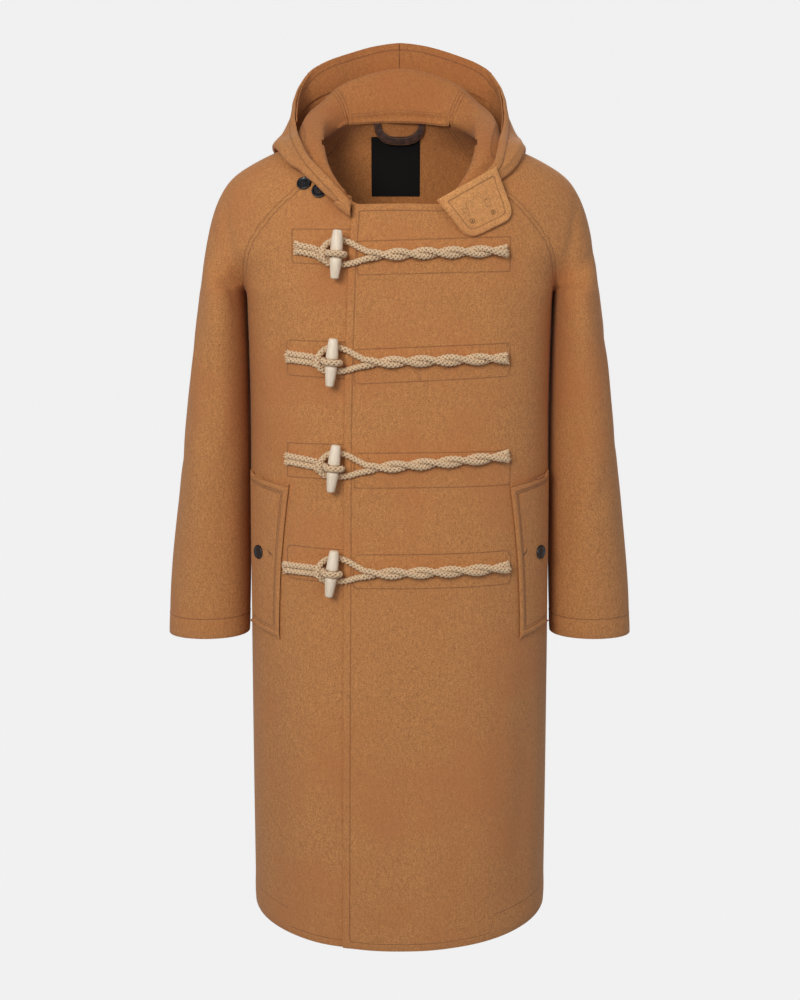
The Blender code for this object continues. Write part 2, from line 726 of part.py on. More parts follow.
def coat_surface():
    """The outer surface of the whole coat, welded at its seams, with its outside facing out."""
    mesh = bmesh.new()
    add_fronts(mesh)
    add_back(mesh)
    add_sleeves(mesh)
    weld(mesh)
    add_hood(mesh)
    weld(mesh)
    bmesh.ops.triangulate(mesh, faces=mesh.faces)
    inner = mesh.verts.layers.float_vector.new("inner")
    name = mesh.verts.layers.int.new("id")
    mesh.normal_update()
    for number, vert in enumerate(mesh.verts):
        vert[name] = number
        vert[inner] = vert.co - vert.normal * CLOTH * min(1.3, vert.calc_shell_factor())
    return mesh


def material(name, colour, roughness=0.9, metallic=0.0):
    made = bpy.data.materials.new(name)
    made.use_nodes = True
    shader = made.node_tree.nodes["Principled BSDF"]
    shader.inputs["Base Color"].default_value = colour
    shader.inputs["Roughness"].default_value = roughness
    shader.inputs["Metallic"].default_value = metallic
    return made


def add_object(name, mesh, paint):
    data = bpy.data.meshes.new(name)
    mesh.to_mesh(data)
    mesh.free()
    data.materials.clear()
    data.materials.append(paint)
    made = bpy.data.objects.new(name, data)
    bpy.context.scene.collection.objects.link(made)
    return made


def pull_from_seams(piece, inner):
    """Draws a sheet's border in by half the seam gap, so that neighbours don't touch."""
    for vert in [vert for vert in piece.verts if vert.is_boundary]:
        drawn = Vector((0, 0, 0))
        for edge in vert.link_edges:
            if edge.is_boundary:
                face = edge.link_faces[0]
                along = (edge.verts[1].co - edge.verts[0].co).normalized()
                across = face.normal.cross(along)
                toward = face.calc_center_median() - edge.verts[0].co
                drawn += across if across.dot(toward) > 0 else -across
        if drawn.length > 0.1:
            move = drawn.normalized() * SEAM_PULL
            vert.co += move
            vert[inner] += move


def cut_piece(surface, name, paint, chosen, near=0.0, far=CLOTH):
    """One sewn piece: the chosen faces as a wall, from one depth under the outer surface to another."""
    piece = surface.copy()
    cell = piece.faces.layers.int["cell"]
    level = piece.faces.layers.int["row"]
    others = [face for face in piece.faces if not chosen(face, face[cell], face[level])]
    bmesh.ops.delete(piece, geom=others, context="FACES")
    inner = piece.verts.layers.float_vector["inner"]
    pull_from_seams(piece, inner)
    for vert in piece.verts:
        inward = (vert[inner] - vert.co) / CLOTH
        vert[inner] = vert.co + inward * far
        vert.co += inward * near
    thicken(piece, lambda vert: vert[inner])
    return add_object(name, piece, paint)


def thicken(sheet, moved):
    """Turns an open sheet of triangles into a closed wall: its copy goes where each point is moved to.

    The side faces of two walls that share a seam are split along the same diagonals, by the layer "id".
    """
    name = sheet.verts.layers.int["id"]
    grown = bmesh.ops.extrude_face_region(sheet, geom=sheet.faces[:])
    copies = {item for item in grown["geom"] if isinstance(item, bmesh.types.BMVert)}
    for vert in copies:
        vert.co = moved(vert)
    for face in [face for face in sheet.faces if len(face.verts) == 4]:
        start = min((vert for vert in face.verts if vert not in copies), key=lambda vert: vert[name])
        end = max((vert for vert in face.verts if vert in copies), key=lambda vert: vert[name])
        bmesh.utils.face_split(face, start, end)
    bmesh.ops.recalc_face_normals(sheet, faces=sheet.faces)


def front_at(tree, x, z, lift):
    """A point over the coat's front as it is at the wearer's left, and the way out from the cloth."""
    place, normal, _, _ = tree.ray_cast(Vector((abs(x), -1, z)), Vector((0, 1, 0)))
    side = -1 if x < 0 else 1
    normal = mirrored(normal, side)
    return mirrored(place, side) + normal * lift, normal


def back_inside(tree, x, z, depth):
    """A point inside the coat's back, a depth in from its outer surface."""
    place, normal, _, _ = tree.ray_cast(Vector((x, 0.02, z)), Vector((0, 1, 0)))
    return place - normal * depth


def laid_sheet(name, paint, rows, thickness):
    """A piece laid on the coat: rows of points and the ways out from it, thickened outward."""
    sheet = bmesh.new()
    add_sheet(sheet, [[point for point, _ in row] for row in rows], 0)
    number = sheet.verts.layers.int.new("id")
    kept = sheet.verts.layers.float_vector.new("out")
    ways = [way for row in rows for _, way in row]
    for i, (vert, way) in enumerate(zip(sheet.verts, ways)):
        vert[number] = i
        vert[kept] = vert.co + way * thickness
    bmesh.ops.triangulate(sheet, faces=sheet.faces)
    thicken(sheet, lambda vert: vert[kept])
    return add_object(name, sheet, paint)


def pocket_x(edge, height):
    """Where a pocket's inner (0) or outer (1) edge lies at a height."""
    top, foot = POCKET_EDGES[edge]
    t = (height - top[1]) / (foot[1] - top[1])
    bow = 0 if edge else POCKET_BOW * 4 * t * (1 - t)
    return mix(top[0], foot[0], t) + bow


def add_pocket(tree, name, side):
    """A welt on the front, bent only where the front's own mesh bends, so that it lies evenly on it."""
    creases = [mix(TORSO[0][0], TORSO[-1][0], i / TORSO_STEPS) for i in POCKET_ROWS]
    rows = []
    for i in range(len(creases) + 2):
        row = []
        for k in range(len(POCKET_COLUMNS) + 2):
            share = k / (len(POCKET_COLUMNS) + 1)
            if i == 0:
                height = mix(POCKET_INNER_TOP[1], POCKET_OUTER_TOP[1], share)
            elif i > len(creases):
                height = mix(POCKET_INNER_FOOT[1], POCKET_OUTER_FOOT[1], share)
            else:
                height = creases[i - 1]
            handles = torso_quarter(height)
            corner = share_at_x(handles, NECK_CORNER)
            if k == 0:
                place = share_at_x(handles, pocket_x(0, height))
            elif k > len(POCKET_COLUMNS):
                place = share_at_x(handles, pocket_x(1, height))
            else:
                place = mix(corner, 1, POCKET_COLUMNS[k - 1] / FRONT_COLUMNS)
            spot, normal, _, _ = tree.find_nearest(bezier(handles, place))
            row.append((mirrored(spot + normal * LIFT, side), mirrored(normal, side)))
        rows.append(row)
    laid_sheet(name, material(name, WOOL), smoothed(rows), POCKET_CLOTH)


def smoothed(rows):
    """The rows with each way out averaged with its neighbours', which keeps a laid piece's thickness even."""
    turned = []
    for i, row in enumerate(rows):
        around = rows[max(0, i - 1) : i + 2]
        fresh = []
        for k, (point, _) in enumerate(row):
            near = [way for beside in around for _, way in beside[max(0, k - 1) : k + 2]]
            fresh.append((point, sum(near, Vector()).normalized()))
        turned.append(fresh)
    return turned


def turned_solid(profile, sides):
    """A solid turned about Z from rows of a height and a radius."""
    mesh = bmesh.new()
    rings = []
    for height, radius in profile:
        ring = []
        for i in range(sides):
            turn = 2 * pi * i / sides
            ring.append(mesh.verts.new((radius * cos(turn), radius * sin(turn), height)))
        rings.append(ring)
    for lower, upper in zip(rings, rings[1:]):
        for i in range(sides):
            k = (i + 1) % sides
            mesh.faces.new((lower[i], lower[k], upper[k], upper[i]))
    mesh.faces.new(rings[0][::-1])
    mesh.faces.new(rings[-1])
    return mesh


def add_button(name, place, out):
    profile = [(height, radius) for radius, height in BUTTON_PROFILE]
    made = add_object(name, turned_solid(profile, BUTTON_SIDES), material(name, HORN, 0.25))
    made.location = place
    made.rotation_mode = "QUATERNION"
    made.rotation_quaternion = out.to_track_quat("Z", "Y")


def rounded(s, t):
    """Square coordinates of the tab with its two free corners rounded. t runs from its sewn side."""
    reach = TAB_ROUND
    from_side = max(reach - s, s - (1 - reach), 0)
    from_foot = max(t - (1 - reach), 0)
    if from_side > 0 and from_foot > 0:
        shrink = max(from_side, from_foot) / Vector((from_side, from_foot)).length
        centre_s = reach if s < 0.5 else 1 - reach
        s = centre_s + (s - centre_s) * shrink
        t = 1 - reach + from_foot * shrink
    return s, t


def bridged(heights):
    """The heights of a taut sheet over evenly spaced points: none is under a line between two others."""
    raised = []
    for i, height in enumerate(heights):
        for j in range(i + 1):
            for k in range(max(i, j + 1), len(heights)):
                height = max(height, mix(heights[j], heights[k], (i - j) / (k - j)))
        raised.append(height)
    return raised


def add_tab(tree):
    """The throat tab, two layers thick, bridging from the hood's face edge to the chest."""
    neck, top, outer, foot = (Vector(corner) for corner in TAB_CORNERS)
    steps = range(TAB_STEPS + 1)
    places = []
    heights = []
    for i in steps:
        square = [rounded(k / TAB_STEPS, i / TAB_STEPS) for k in steps]
        places.append([neck.lerp(top, s).lerp(foot.lerp(outer, s), t) for s, t in square])
        heights.append([-tree.ray_cast(Vector((x, -1, z)), Vector((0, 1, 0)))[0].y for x, z in places[i]])
    heights = [[row[max(1, k)] for k in steps] for row in heights[1:2] + heights[1:]]
    columns = [bridged([row[k] for row in heights]) for k in steps]
    rows = [bridged([column[i] for column in columns]) for i in steps]
    points = []
    for row, levels in zip(places, rows):
        line = [Vector((x, -level, z)) + TAB_OUT * TAB_LIFT for (x, z), level in zip(row, levels)]
        points.append([(point, TAB_OUT) for point in line])
    laid_sheet("throat_tab", material("throat_tab", WOOL), points, TAB_CLOTH)


def add_cord(tree, name, route):
    """A round cord over the coat's front, along points of x, height and lift from the cloth."""
    curve = bpy.data.curves.new(name, "CURVE")
    curve.dimensions = "3D"
    curve.bevel_depth = CORD_RADIUS
    curve.bevel_resolution = CORD_SIDES
    curve.use_fill_caps = True
    spline = curve.splines.new("POLY")
    spline.points.add(len(route) - 1)
    for target, point in zip(spline.points, route):
        target.co = (*front_at(tree, *point)[0], 1)
    curve.materials.append(material(name, ROPE))
    made = bpy.data.objects.new(name, curve)
    bpy.context.scene.collection.objects.link(made)


def through(points, spacing):
    """Points read at about the given spacing from a smooth curve through the given ones."""
    points = [Vector(point) for point in points]
    found = []
    for i in range(len(points) - 1):
        steps = max(1, round((points[i + 1] - points[i]).length / spacing))
        found += [tuple(row_at(points, i + k / steps)) for k in range(steps)]
    return found + [tuple(points[-1])]


def add_fastening(tree, number, row):
    toggle_x, toggle_z, lean, short_x, short_z, long_x, long_z = row
    centre, _ = front_at(tree, toggle_x, toggle_z, TOGGLE_LIFT)
    name = f"toggle_{number}"
    made = add_object(name, turned_solid(TOGGLE, TOGGLE_SIDES), material(name, WOOD, 0.5))
    made.location = centre
    made.rotation_euler = (0, radians(lean), 0)

    bend_x = toggle_x - SHORT_BEND
    bend_z = mix(toggle_z, short_z, 0.5)
    short = [(short_x, short_z + CORD_PAIR, CORD_LIFT), (bend_x, bend_z + CORD_PAIR, CORD_LIFT)]
    short += [(toggle_x + right, toggle_z + up, away) for right, up, away in SHORT_ROUTE]
    short += [(bend_x, bend_z - CORD_PAIR, CORD_LIFT), (short_x, short_z - CORD_PAIR, CORD_LIFT)]
    add_cord(tree, f"short_cord_{number}", through(short, CORD_SPACING))

    start_x = toggle_x + TWIST_START
    strands = ([], [])
    count = HALF_TWISTS * TWIST_POINTS
    for i in range(count + 1):
        share = i / count
        turn = pi * HALF_TWISTS * share
        x = mix(start_x, long_x, share)
        z = mix(toggle_z, long_z, share)
        for strand, sign in zip(strands, (1, -1)):
            away = CORD_LIFT + CORD_PAIR * (1 + sign * sin(turn))
            strand.append((x, z + sign * CORD_PAIR * cos(turn), away))
    route = [(toggle_x + right, toggle_z + up, away) for right, up, away in LOOP_ROUTE]
    loop = through([strands[0][0]] + route + [strands[1][0]], CORD_SPACING)
    add_cord(tree, f"loop_cord_{number}", strands[0][:0:-1] + loop + strands[1][1:])


def add_label(tree):
    across, down = LABEL_STEPS
    rows = []
    for i in range(down + 1):
        row = []
        for k in range(across + 1):
            x = LABEL_CENTRE[0] + LABEL_SIZE[0] * (k / across - 0.5)
            z = LABEL_CENTRE[1] + LABEL_SIZE[1] * (0.5 - i / down)
            row.append((back_inside(tree, x, z, CLOTH + LIFT), Vector((0, -1, 0))))
        rows.append(row)
    laid_sheet("label", material("label", BLACK), rows, LABEL_CLOTH)


def add_hanger_loop(tree):
    """A leather strap, sewn in under the neck tape at both ends."""
    route = [Vector(row) for row in LOOP_STRAP]
    rows = []
    for i, point in enumerate(route):
        before = route[max(0, i - 1)]
        after = route[min(len(route) - 1, i + 1)]
        along = Vector((after.x - before.x, 0, after.y - before.y)).normalized()
        across = Vector((-along.z, 0, along.x)) * STRAP_WIDTH / 2
        row = []
        for sign in (-1, 1):
            x = point.x + across.x * sign
            z = point.y + across.z * sign
            row.append((back_inside(tree, x, z, CLOTH + LIFT + point.z), Vector((0, -1, 0))))
        rows.append(row)
    laid_sheet("hanger_loop", material("hanger_loop", LEATHER, 0.45), rows, STRAP_CLOTH)


def panel_test(number):
    return lambda face, cell, row: face.material_index == number


def facing_test(lowest, side):
    """The strip inside the face edge, on one side of the middle."""

    def chosen(face, cell, row):
        in_strip = face.material_index >= HOOD_FIRST and cell >= lowest
        started = face.material_index == HOOD_CENTRE or row >= FACING_START
        return in_strip and started and face.calc_center_median().x * side > 0

    return chosen


def tape_test(face, cell, row):
    """The first row of the hood's centre panel, over the seam at the nape."""
    return face.material_index == HOOD_CENTRE and cell < 1


def clear_scene():
    for item in list(bpy.data.objects):
        bpy.data.objects.remove(item)


def without_hood(surface):
    """A tree of the coat's body alone."""
    body = surface.copy()
    hood = [face for face in body.faces if face.material_index >= HOOD_FIRST]
    bmesh.ops.delete(body, geom=hood, context="FACES")
    return BVHTree.FromBMesh(body)


def add_buttons(tree, body_tree):
    """One on each pocket, and the two at the wearer's right that the throat tab fastens to."""
    x, z = POCKET_BUTTON
    for side, hand in ((1, "left"), (-1, "right")):
        place, out = front_at(tree, x * side, z, LIFT * 2 + POCKET_CLOTH)
        add_button(f"pocket_button_{hand}", place, out)
    for number, (x, z) in enumerate(HOOD_BUTTONS, 1):
        place, out, _, _ = body_tree.ray_cast(Vector((x, -1, z)), Vector((0, 1, 0)))
        add_button(f"tab_button_{number}", place + out * LIFT, out)


def add_panels(surface):
    """The coat's panels, and the pieces that line them."""
    for number, name in enumerate(PANELS):
        cut_piece(surface, name, material(name, WOOL), panel_test(number))
    under = CLOTH + GAP
    lowest = sum(HOOD_STEPS) - HOOD_STEPS[-1]
    for name, side in (("hood_facing_left", 1), ("hood_facing_right", -1)):
        cut_piece(surface, name, material(name, WOOL), facing_test(lowest, side), under, under + FACING_CLOTH)
    cut_piece(surface, "neck_tape", material("neck_tape", WOOL), tape_test, under, under + TAPE_CLOTH)


def main():
    clear_scene()
    surface = coat_surface()
    add_panels(surface)
    tree = BVHTree.FromBMesh(surface)
    add_pocket(tree, "pocket_left", 1)
    add_pocket(tree, "pocket_right", -1)
    add_tab(tree)
    add_buttons(tree, without_hood(surface))
    for number, row in enumerate(FASTENINGS, 1):
        add_fastening(tree, number, row)
    add_label(tree)
    add_hanger_loop(tree)


main()
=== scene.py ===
import json
import math
import random

import bmesh
import bpy
from mathutils import Matrix, Vector
from mathutils.bvhtree import BVHTree
from mathutils.kdtree import KDTree

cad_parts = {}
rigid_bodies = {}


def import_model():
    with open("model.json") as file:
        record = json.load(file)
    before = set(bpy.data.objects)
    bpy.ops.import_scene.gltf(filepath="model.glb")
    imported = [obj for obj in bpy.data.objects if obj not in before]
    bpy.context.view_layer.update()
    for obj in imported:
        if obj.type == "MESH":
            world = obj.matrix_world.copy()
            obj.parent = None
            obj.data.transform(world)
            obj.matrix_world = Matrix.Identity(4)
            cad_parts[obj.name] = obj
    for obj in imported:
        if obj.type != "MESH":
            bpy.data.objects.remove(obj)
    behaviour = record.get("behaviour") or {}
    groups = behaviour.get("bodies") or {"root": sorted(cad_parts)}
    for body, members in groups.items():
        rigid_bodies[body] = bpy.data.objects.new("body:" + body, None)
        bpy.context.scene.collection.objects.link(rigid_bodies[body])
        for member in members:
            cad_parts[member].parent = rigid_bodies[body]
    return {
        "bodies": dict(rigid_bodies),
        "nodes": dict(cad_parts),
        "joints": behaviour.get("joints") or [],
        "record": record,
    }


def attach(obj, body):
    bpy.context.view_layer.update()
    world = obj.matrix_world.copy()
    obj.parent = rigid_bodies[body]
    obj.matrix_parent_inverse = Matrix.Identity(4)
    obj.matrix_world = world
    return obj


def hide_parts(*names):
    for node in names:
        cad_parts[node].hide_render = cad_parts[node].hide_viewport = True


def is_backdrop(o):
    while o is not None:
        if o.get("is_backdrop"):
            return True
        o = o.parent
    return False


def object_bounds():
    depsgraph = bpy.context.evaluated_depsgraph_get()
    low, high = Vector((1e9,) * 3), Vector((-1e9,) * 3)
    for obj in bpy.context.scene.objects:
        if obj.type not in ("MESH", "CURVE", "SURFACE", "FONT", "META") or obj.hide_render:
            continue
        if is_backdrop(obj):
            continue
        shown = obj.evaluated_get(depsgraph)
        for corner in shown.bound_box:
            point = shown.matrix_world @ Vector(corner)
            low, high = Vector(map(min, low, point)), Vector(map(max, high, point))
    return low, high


for name in ("Cube", "Light", "Camera"):
    if name in bpy.data.objects:
        bpy.data.objects.remove(bpy.data.objects[name])
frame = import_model()
nodes = frame["nodes"]
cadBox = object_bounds()
scene = bpy.context.scene
scene.view_settings.view_transform = "Standard"
print("frame loaded:", len(nodes), "nodes")


def meshOf(name, mesh):
    # a bmesh put away as mesh data
    data = bpy.data.meshes.new(name)
    mesh.to_mesh(data)
    mesh.free()
    return data


def linked(name, data):
    made = bpy.data.objects.new(name, data)
    scene.collection.objects.link(made)
    return made


def finalMesh(maker):
    # an object's mesh as its modifiers leave it, the object itself removed
    seen = maker.evaluated_get(bpy.context.evaluated_depsgraph_get())
    mesh = bmesh.new()
    mesh.from_mesh(bpy.data.meshes.new_from_object(seen))
    bpy.data.objects.remove(maker)
    return mesh


def treeOf(points):
    tree = KDTree(len(points))
    for i, point in enumerate(points):
        tree.insert(point, i)
    tree.balance()
    return tree


camera = {
    "place": (0.0006, -2.254, -0.2146),
    "tilt": 8.7,  # degrees down
    "focal": 54.11,  # mm, on a frame 36 mm high
    "sensor": 36,
}


def setCamera():
    lens = bpy.data.cameras.new("camera")
    lens.sensor_fit = "VERTICAL"
    lens.sensor_height = camera["sensor"]
    lens.lens = camera["focal"]
    lens.clip_end = 50
    eye = linked("camera", lens)
    eye.location = camera["place"]
    eye.rotation_euler = (math.radians(90 - camera["tilt"]), 0, 0)
    scene.camera = eye


setCamera()


def blendOf(a, b, share):
    return a + (b - a) * share


def softStep(x):
    x = min(1, max(0, x))
    return x * x * (3 - 2 * x)


def placed(name, mesh, finish, hides=()):
    # a bmesh made into a smooth piece of the coat
    data = meshOf(name, mesh)
    data.shade_smooth()
    data.materials.clear()
    data.materials.append(finish)
    piece = linked(name, data)
    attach(piece, "root")
    if hides:
        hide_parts(*hides)
    return piece


class Wire:
    # an output of a node, so that shader maths reads as plain sums
    def __init__(self, tree, socket=None):
        self.tree = tree
        self.socket = socket

    def node(self, kind, settings, inputs, out=0):
        made = self.tree.nodes.new(kind)
        for key, value in settings.items():
            if key == "stops":
                stops = made.color_ramp.elements
                while len(stops) < len(value):
                    stops.new(0.5)
                for stop, (place, colour) in zip(stops, value):
                    stop.position = place
                    stop.color = colour
            else:
                setattr(made, key, value)
        for key, value in inputs.items():
            if isinstance(value, Wire):
                self.tree.links.new(value.socket, made.inputs[key])
            else:
                made.inputs[key].default_value = value
        return Wire(self.tree, made.outputs[out] if len(made.outputs) else None)

    def maths(self, operation, *values):
        return self.node("ShaderNodeMath", {"operation": operation}, dict(enumerate(values)))

    def __add__(self, other):
        return self.maths("ADD", self, other)

    def __radd__(self, other):
        return self.maths("ADD", other, self)

    def __sub__(self, other):
        return self.maths("SUBTRACT", self, other)

    def __rsub__(self, other):
        return self.maths("SUBTRACT", other, self)

    def __mul__(self, other):
        return self.maths("MULTIPLY", self, other)

    def __rmul__(self, other):
        return self.maths("MULTIPLY", other, self)

    def __truediv__(self, other):
        return self.maths("DIVIDE", self, other)

    def __abs__(self):
        return self.maths("ABSOLUTE", self)

    def over(self, low, high):
        # 0 at low, 1 at high, and smooth between
        settings = {"interpolation_type": "SMOOTHSTEP"}
        return self.node("ShaderNodeMapRange", settings, {"Value": self, 1: low, 2: high, 3: 0.0, 4: 1.0})

    def noise(self, place, scale, detail=2.0, roughness=0.5):
        inputs = {"Vector": place, "Scale": scale, "Detail": detail, "Roughness": roughness}
        return self.node("ShaderNodeTexNoise", {}, inputs)

    def mixed(self, first, second, share, way="MIX"):
        settings = {"data_type": "RGBA", "blend_type": way}
        return self.node("ShaderNodeMix", settings, {0: share, 6: first, 7: second}, 2)

    def stored(self, name):
        return self.node("ShaderNodeAttribute", {"attribute_name": name}, {}, "Fac")

    def place(self):
        return self.node("ShaderNodeTexCoord", {}, {}, "Object")

    def stretched(self, vector, scale):
        return self.node("ShaderNodeMapping", {}, {"Vector": vector, "Scale": scale})


def surfaced(name, make, fixed):
    # a finish from a function that gives its colour, roughness and height in metres
    finish = bpy.data.materials.new(name)
    finish.use_nodes = True
    finish.node_tree.nodes.clear()
    graph = Wire(finish.node_tree)
    colour, roughness, height = make(graph)
    bump = graph.node("ShaderNodeBump", {}, {"Strength": 1.0, "Distance": 1.0, "Height": height})
    inputs = {"Base Color": colour, "Roughness": roughness, "Normal": bump}
    shader = graph.node("ShaderNodeBsdfPrincipled", {}, {**inputs, **fixed})
    graph.node("ShaderNodeOutputMaterial", {}, {"Surface": shader})
    return finish


melton = {
    "light": (0.640, 0.278, 0.082, 1),
    "dark": (0.290, 0.106, 0.029, 1),
    "warm": (0.470, 0.160, 0.044, 1),
    # painted shade, laid into the grooves along the stitching and the seams
    "deep": (0.130, 0.048, 0.018, 1),
    "grain": 640,  # per metre
    "nap": 260,
    "clouds": 9,
    "groove": 0.0015,
}


def meltonCloth(graph, shade=None):
    # felted wool: a fine two-tone grain under slow clouds, pressed in along the stitching and the seams, with
    # painted shade in those grooves
    place = graph.place()
    grain = graph.noise(place, melton["grain"], 3.0, 0.72)
    nap = graph.noise(graph.stretched(place, (1.0, 1.0, 0.6)), melton["nap"], 3.0, 0.6)
    clouds = graph.noise(place, melton["clouds"], 3.0, 0.55)
    mix = graph.mixed(melton["dark"], melton["light"], (grain * 0.75 + nap * 0.25).over(0.28, 0.70))
    mix = graph.mixed(mix, melton["warm"], clouds.over(0.40, 0.72) * 0.55)
    line = graph.maths("MINIMUM", abs(graph.stored("hemline")), abs(graph.stored("patch")))
    grooveAndShade = 1 - line.over(0.0, melton["groove"])
    grooveAndShade = graph.maths("MAXIMUM", grooveAndShade, graph.stored("seam").over(0.60, 1.0))
    # painted shade: the wool darker along the stitching and the seams, where the grooves would fall into
    # shade
    mix = graph.mixed(mix, melton["deep"], grooveAndShade * 0.28)
    if shade:
        mix = graph.mixed(mix, shade, 1.0, "MULTIPLY")
    height = grain * 0.00016 + nap * 0.0003 - grooveAndShade * 0.0005
    return mix, 0.92 + nap * 0.08, height


def shadedInnerCloth(graph):
    # the wool's other side: the same wool painted darker and redder as shade
    return meltonCloth(graph, (0.92, 0.83, 0.74, 1))


def tabCloth(graph):
    # the tab's wool, its colours multiplied paler than the coat's
    return meltonCloth(graph, (1.32, 1.44, 1.60, 1))


fuzz = {"Sheen Weight": 0.12, "Sheen Roughness": 0.4, "Sheen Tint": (1.0, 0.62, 0.36, 1)}
wool = surfaced("wool", meltonCloth, fuzz)
woolInsideShaded = surfaced("wool inside shaded", shadedInnerCloth, fuzz)
woolTab = surfaced("wool tab", tabCloth, fuzz)


cloth = {
    "panels": (
        "back",
        "sleeve_left",
        "sleeve_right",
        "front_left",
        "front_right",
        "hood_left",
        "hood_right",
        "hood_centre",
    ),
    "thickness": 0.003,
    "edge": 0.0009,  # how far a cut edge is rounded
    "through": 0.0055,  # a wall's far side is nearer than this behind its face
    "inset": 0.0002,  # where the look through a wall starts, under its face
    "corner": 72,  # degrees: a side ends at a sharper turn
    "rimGap": 0.0007,
    "facing": -0.8,  # two rims face each other under this
    "seamGap": 0.0011,  # over which two panels' edges meet
    "levels": 3,
    "foldAngle": 40,
    "weld": 0.00001,
    "sliver": 0.0002,
}
crowding = {"foot": -0.262, "top": -0.234, "merge": 0.0082}  # where rows of the coarse skin crowd together
gap = {"edges": 16, "foot": -0.2}  # a gap of so few edges, all above this, is closed


def closedWall(name):
    wall = bmesh.new()
    wall.from_mesh(nodes[name].data)
    bmesh.ops.remove_doubles(wall, verts=wall.verts, dist=cloth["weld"])
    return wall


def isRim(face, own, others):
    # a wall's rim has no far side close behind it, or another wall's rim against it
    middle = face.calc_center_median()
    if not own.ray_cast(middle - face.normal * cloth["inset"], -face.normal, cloth["through"])[0]:
        return True
    near = [tree.find_nearest(middle, cloth["rimGap"])[1] for tree in others]
    return any(normal and normal.dot(face.normal) < cloth["facing"] for normal in near)


def wallSides(wall, own, others):
    # the sides of a thin closed wall without its rim, the largest first
    left = {face for face in wall.faces if not isRim(face, own, others)}
    corner = math.radians(cloth["corner"])
    sides = []
    while left:
        reached = [left.pop()]
        side = set(reached)
        while reached:
            at = reached.pop()
            around = {face for edge in at.edges for face in edge.link_faces}
            for face in around & left:
                if face.normal.angle(at.normal) < corner:
                    left.remove(face)
                    side.add(face)
                    reached.append(face)
        sides.append(side)
    return sorted(sides, key=len, reverse=True)


def touching(side, known):
    # how many corners of a side lie on the skin so far
    corners = {vert for face in side for vert in face.verts}
    return sum(known.find(vert.co)[2] < cloth["seamGap"] for vert in corners)


def outerSkin():
    # the coat's outer side as one open surface, its faces numbered by panel
    skin = bmesh.new()
    walls = [closedWall(name) for name in cloth["panels"]]
    trees = [BVHTree.FromBMesh(wall) for wall in walls]
    for number, name in enumerate(cloth["panels"]):
        wall = walls[number]
        kind = name.split("_")[0]
        beside = [tree for other, tree in zip(cloth["panels"], trees) if not other.startswith(kind)]
        sides = wallSides(wall, trees[number], beside)
        if number == 0:
            outer = max(sides[:2], key=lambda side: sum(face.calc_area() for face in side))
        else:
            known = treeOf([vert.co for vert in skin.verts])
            outer = max(sides[:2], key=lambda side: touching(side, known))
        others = [face for face in wall.faces if face not in outer]
        bmesh.ops.delete(wall, geom=others, context="FACES")
        for face in wall.faces:
            face.material_index = number
        part = meshOf(name, wall)
        skin.from_mesh(part)
        bpy.data.meshes.remove(part)
    bmesh.ops.remove_doubles(skin, verts=skin.verts, dist=cloth["seamGap"])
    bmesh.ops.dissolve_degenerate(skin, dist=cloth["sliver"], edges=skin.edges)
    over = cloth["panels"].index("front_left")
    for wanted in (True, False):  # the two fronts lie over each other, and stay apart
        crowded = [vert for vert in skin.verts if crowding["foot"] < vert.co.z < crowding["top"]]
        crowded = [v for v in crowded if wanted == any(face.material_index == over for face in v.link_faces)]
        bmesh.ops.remove_doubles(skin, verts=crowded, dist=crowding["merge"])
    angle = math.radians(cloth["foldAngle"])
    bmesh.ops.join_triangles(
        skin,
        faces=skin.faces,
        cmp_materials=True,
        angle_face_threshold=angle,
        angle_shape_threshold=angle,
    )
    return skin


def limitOf(vert, points):
    # where a corner of the coarse skin ends up when the skin is smoothed
    place = points[vert.index]
    count = len(vert.link_edges)
    if vert.is_boundary:
        ends = [edge.other_vert(vert) for edge in vert.link_edges if edge.is_boundary]
        if len(vert.link_faces) == 1 or len(ends) != 2:
            return place
        return (place * 4 + points[ends[0].index] + points[ends[1].index]) / 6
    faces = {}
    for face in vert.link_faces:
        faces[face] = sum((points[v.index] for v in face.verts), Vector()) / len(face.verts)
    faceSum = sum(faces.values(), Vector())
    halves = Vector()
    edgeSum = Vector()
    for edge in vert.link_edges:
        other = points[edge.other_vert(vert).index]
        halves += (place + other) / 2
        edgeSum += (place + other + faces[edge.link_faces[0]] + faces[edge.link_faces[1]]) / 4
    fresh = (faceSum / count + halves * 2 / count + place * (count - 3)) / count
    return (fresh * count * count + edgeSum * 4 + faceSum) / (count * (count + 5))


def smoothed(sheet, levels):
    # the sheet subdivided, still passing through its own corners
    sheet.verts.index_update()
    kept = [vert.co.copy() for vert in sheet.verts]
    points = [point.copy() for point in kept]
    for _ in range(3):
        limits = [limitOf(vert, points) for vert in sheet.verts]
        points = [point + old - limit for point, old, limit in zip(points, kept, limits)]
    for vert, point in zip(sheet.verts, points):
        vert.co = point
    coarse = linked("coarse", meshOf("coarse", sheet))
    rounding = coarse.modifiers.new("rounding", "SUBSURF")
    rounding.levels = rounding.render_levels = levels
    rounding.boundary_smooth = "PRESERVE_CORNERS"
    fine = finalMesh(coarse)
    fine.normal_update()
    fine.verts.ensure_lookup_table()
    return fine


def fillSlits(sheet):
    # small gaps left where several panels meet
    edges = {edge for edge in sheet.edges if edge.is_boundary}
    while edges:
        loop = {edges.pop()}
        reached = list(loop)
        while reached:
            for vert in reached.pop().verts:
                more = edges & set(vert.link_edges)
                edges -= more
                loop |= more
                reached += more
        if len(loop) <= gap["edges"] and min(edge.verts[0].co.z for edge in loop) > gap["foot"]:
            made = bmesh.ops.holes_fill(sheet, edges=list(loop), sides=20)
            for face in made["faces"]:
                beside = [f for edge in face.edges for f in edge.link_faces if f is not face]
                face.material_index = beside[0].material_index
            bmesh.ops.triangulate(sheet, faces=made["faces"])


